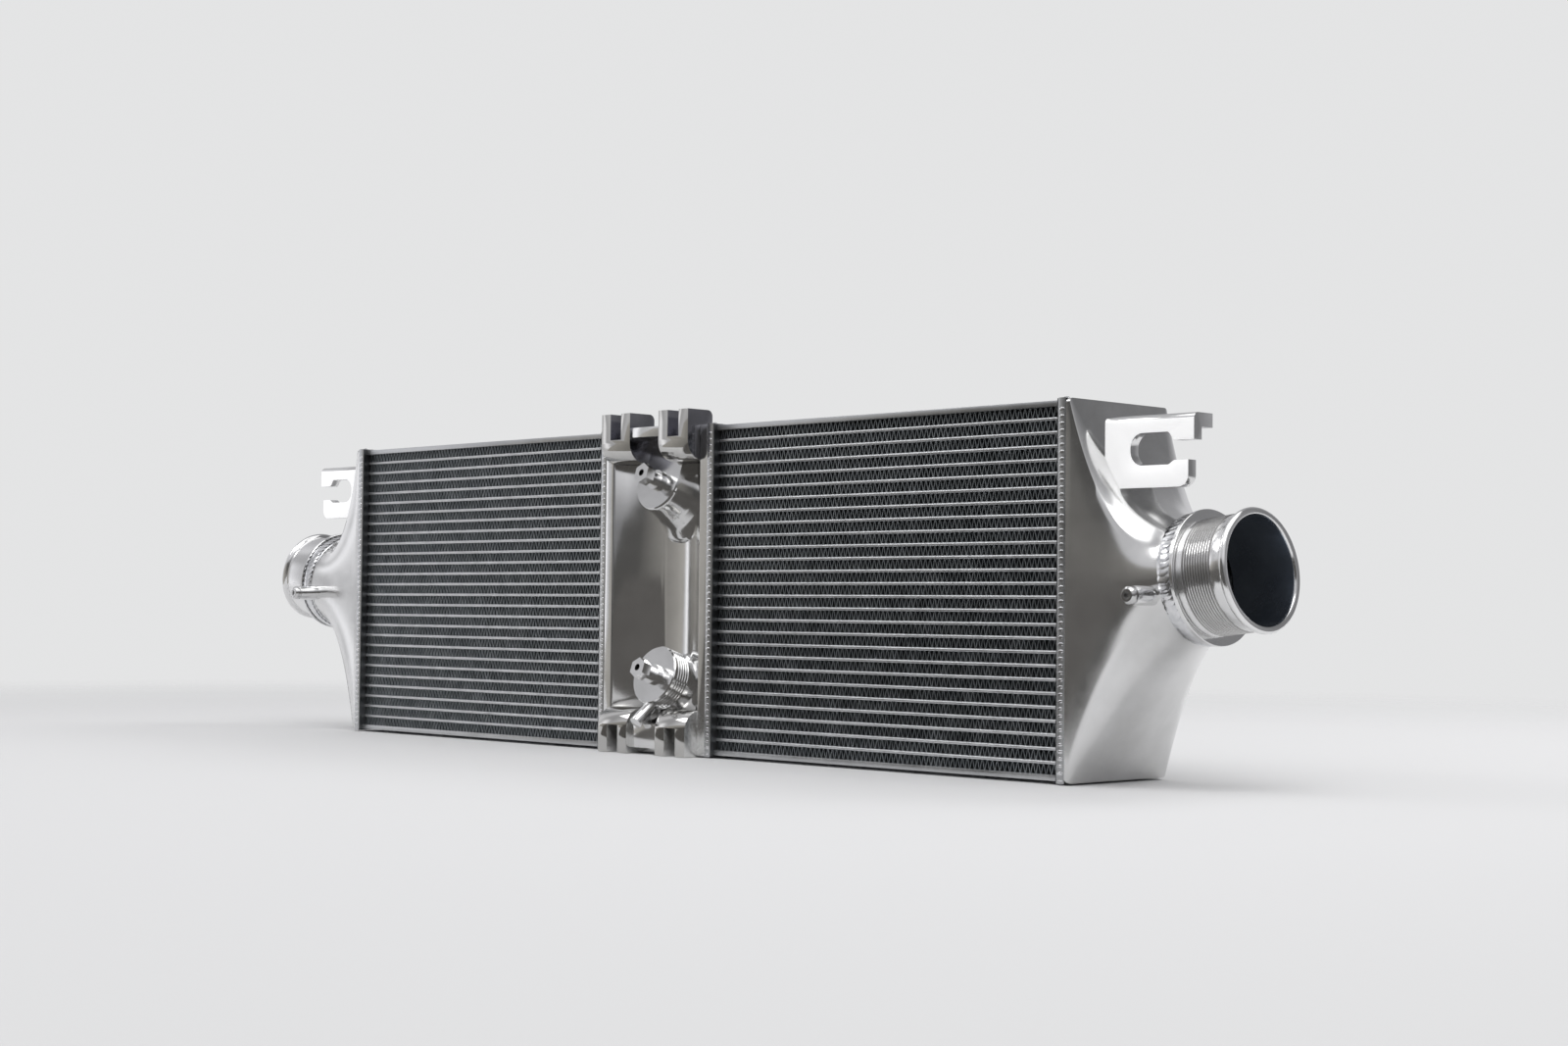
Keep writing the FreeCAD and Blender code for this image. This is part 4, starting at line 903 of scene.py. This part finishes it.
def studioWorld():
    # the camera sees a plain surround, and the metal sees the two tone rings
    world = bpy.data.worlds.new("studioWorld")
    scene.world = world
    world.use_nodes = True
    nodes, links = world.node_tree.nodes, world.node_tree.links
    nodes.clear()
    output = nodes.new("ShaderNodeOutputWorld")
    seen = nodes.new("ShaderNodeBackground")
    seen.inputs["Color"].default_value = (*studio["surround"], 1)
    lit = nodes.new("ShaderNodeBackground")
    mix = nodes.new("ShaderNodeMixShader")
    rays = nodes.new("ShaderNodeLightPath")
    way = nodes.new("ShaderNodeTexCoord")
    turn = nodes.new("ShaderNodeTexGradient")
    turn.gradient_type = "RADIAL"
    split = nodes.new("ShaderNodeSeparateXYZ")
    upward = nodes.new("ShaderNodeMapRange")
    upward.interpolation_type = "SMOOTHSTEP"
    upward.inputs["From Min"].default_value = studio["turnStart"]
    upward.inputs["From Max"].default_value = studio["turnEnd"]
    blend = nodes.new("ShaderNodeMix")
    blend.data_type = "RGBA"
    links.new(way.outputs["Generated"], turn.inputs["Vector"])
    links.new(way.outputs["Generated"], split.inputs["Vector"])
    links.new(split.outputs["Z"], upward.inputs["Value"])
    links.new(upward.outputs["Result"], blend.inputs[0])
    for height, colourInput in ((1, 6), (2, 7)):
        ramp = toneRing(world.node_tree, studio["around"], height)
        links.new(turn.outputs["Fac"], ramp.inputs["Fac"])
        links.new(ramp.outputs["Color"], blend.inputs[colourInput])
    links.new(blend.outputs[2], lit.inputs["Color"])
    links.new(rays.outputs["Is Camera Ray"], mix.inputs["Fac"])
    links.new(lit.outputs["Background"], mix.inputs[1])
    links.new(seen.outputs["Background"], mix.inputs[2])
    links.new(mix.outputs["Shader"], output.inputs["Surface"])


def reflectionCard(name, card):
    # card that only reflections see; its tone blends from left to right
    build = bmesh.new()
    left, right = card["x"]
    foot, head = card["foot"], card["head"]
    corners = ((left, *foot), (right, *foot), (right, *head), (left, *head))
    build.faces.new([build.verts.new(c) for c in corners])
    material, shader = newMaterial(name)
    shader.inputs["Base Color"].default_value = (0, 0, 0, 1)
    shader.inputs["Roughness"].default_value = 1.0
    shader.inputs["Specular IOR Level"].default_value = 0.0
    shader.inputs["Emission Strength"].default_value = 1.0
    split = addNode(material, "ShaderNodeSeparateXYZ")
    link(material, patternAt(material, (1, 1, 1)), split.inputs["Vector"])
    share = rangeOf(material, split.outputs["X"], 0.0, 1.0, *card["blend"])
    tone = addNode(material, "ShaderNodeMix", data_type="RGBA")
    tone.inputs[6].default_value = (*card["left"], 1)
    tone.inputs[7].default_value = (*card["right"], 1)
    link(material, share, tone.inputs[0])
    link(material, tone.outputs[2], shader.inputs["Emission Color"])
    item = stageMesh(name, build, material)
    item.visible_camera = False
    item.visible_shadow = False
    item.visible_diffuse = False


def softbox(name, box):
    # flat rectangular light that the camera doesn't see
    light = bpy.data.lights.new(name, "AREA")
    light.shape = "RECTANGLE"
    light.size, light.size_y = box["size"]
    light.energy = box["power"]
    item = bpy.data.objects.new(name, light)
    scene.collection.objects.link(item)
    item.location = box["place"]
    ahead = Vector(box["target"]) - Vector(box["place"])
    item.rotation_euler = ahead.to_track_quat("-Z", "Y").to_euler()
    item.visible_camera = False
    item.visible_glossy = name not in unmirrored


studioFloor()
studioWorld()
for name, card in cards.items():
    reflectionCard(name, card)
for name, box in softboxes.items():
    softbox(name, box)
print("studio ready")

# Camera at the photograph's place, from the fitted position, heading, pitch and roll
view = {"place": (1.4172, -1.2874, 0.1149), "heading": 45.826, "pitch": 2.136, "roll": 0.593, "lens": 53.94,
        "sensor": 36, "clipStart": 0.02}


def photoCamera():
    heading, pitch, roll = (math.radians(view[k]) for k in ("heading", "pitch", "roll"))
    flat = math.cos(pitch)
    ahead = Vector((-math.sin(heading) * flat, math.cos(heading) * flat, math.sin(pitch)))
    level = Vector((math.cos(heading), math.sin(heading), 0))
    above = level.cross(ahead)
    right = level * math.cos(roll) + above * math.sin(roll)
    up = above * math.cos(roll) - level * math.sin(roll)
    data = bpy.data.cameras.new("photoCamera")
    data.sensor_width = view["sensor"]
    data.lens = view["lens"]
    data.clip_start = view["clipStart"]
    camera = bpy.data.objects.new("photoCamera", data)
    scene.collection.objects.link(camera)
    matrix = Matrix((right, up, -ahead)).transposed().to_4x4()
    matrix.translation = Vector(view["place"])
    camera.matrix_world = matrix
    scene.camera = camera


photoCamera()
scene.view_settings.view_transform = "Standard"
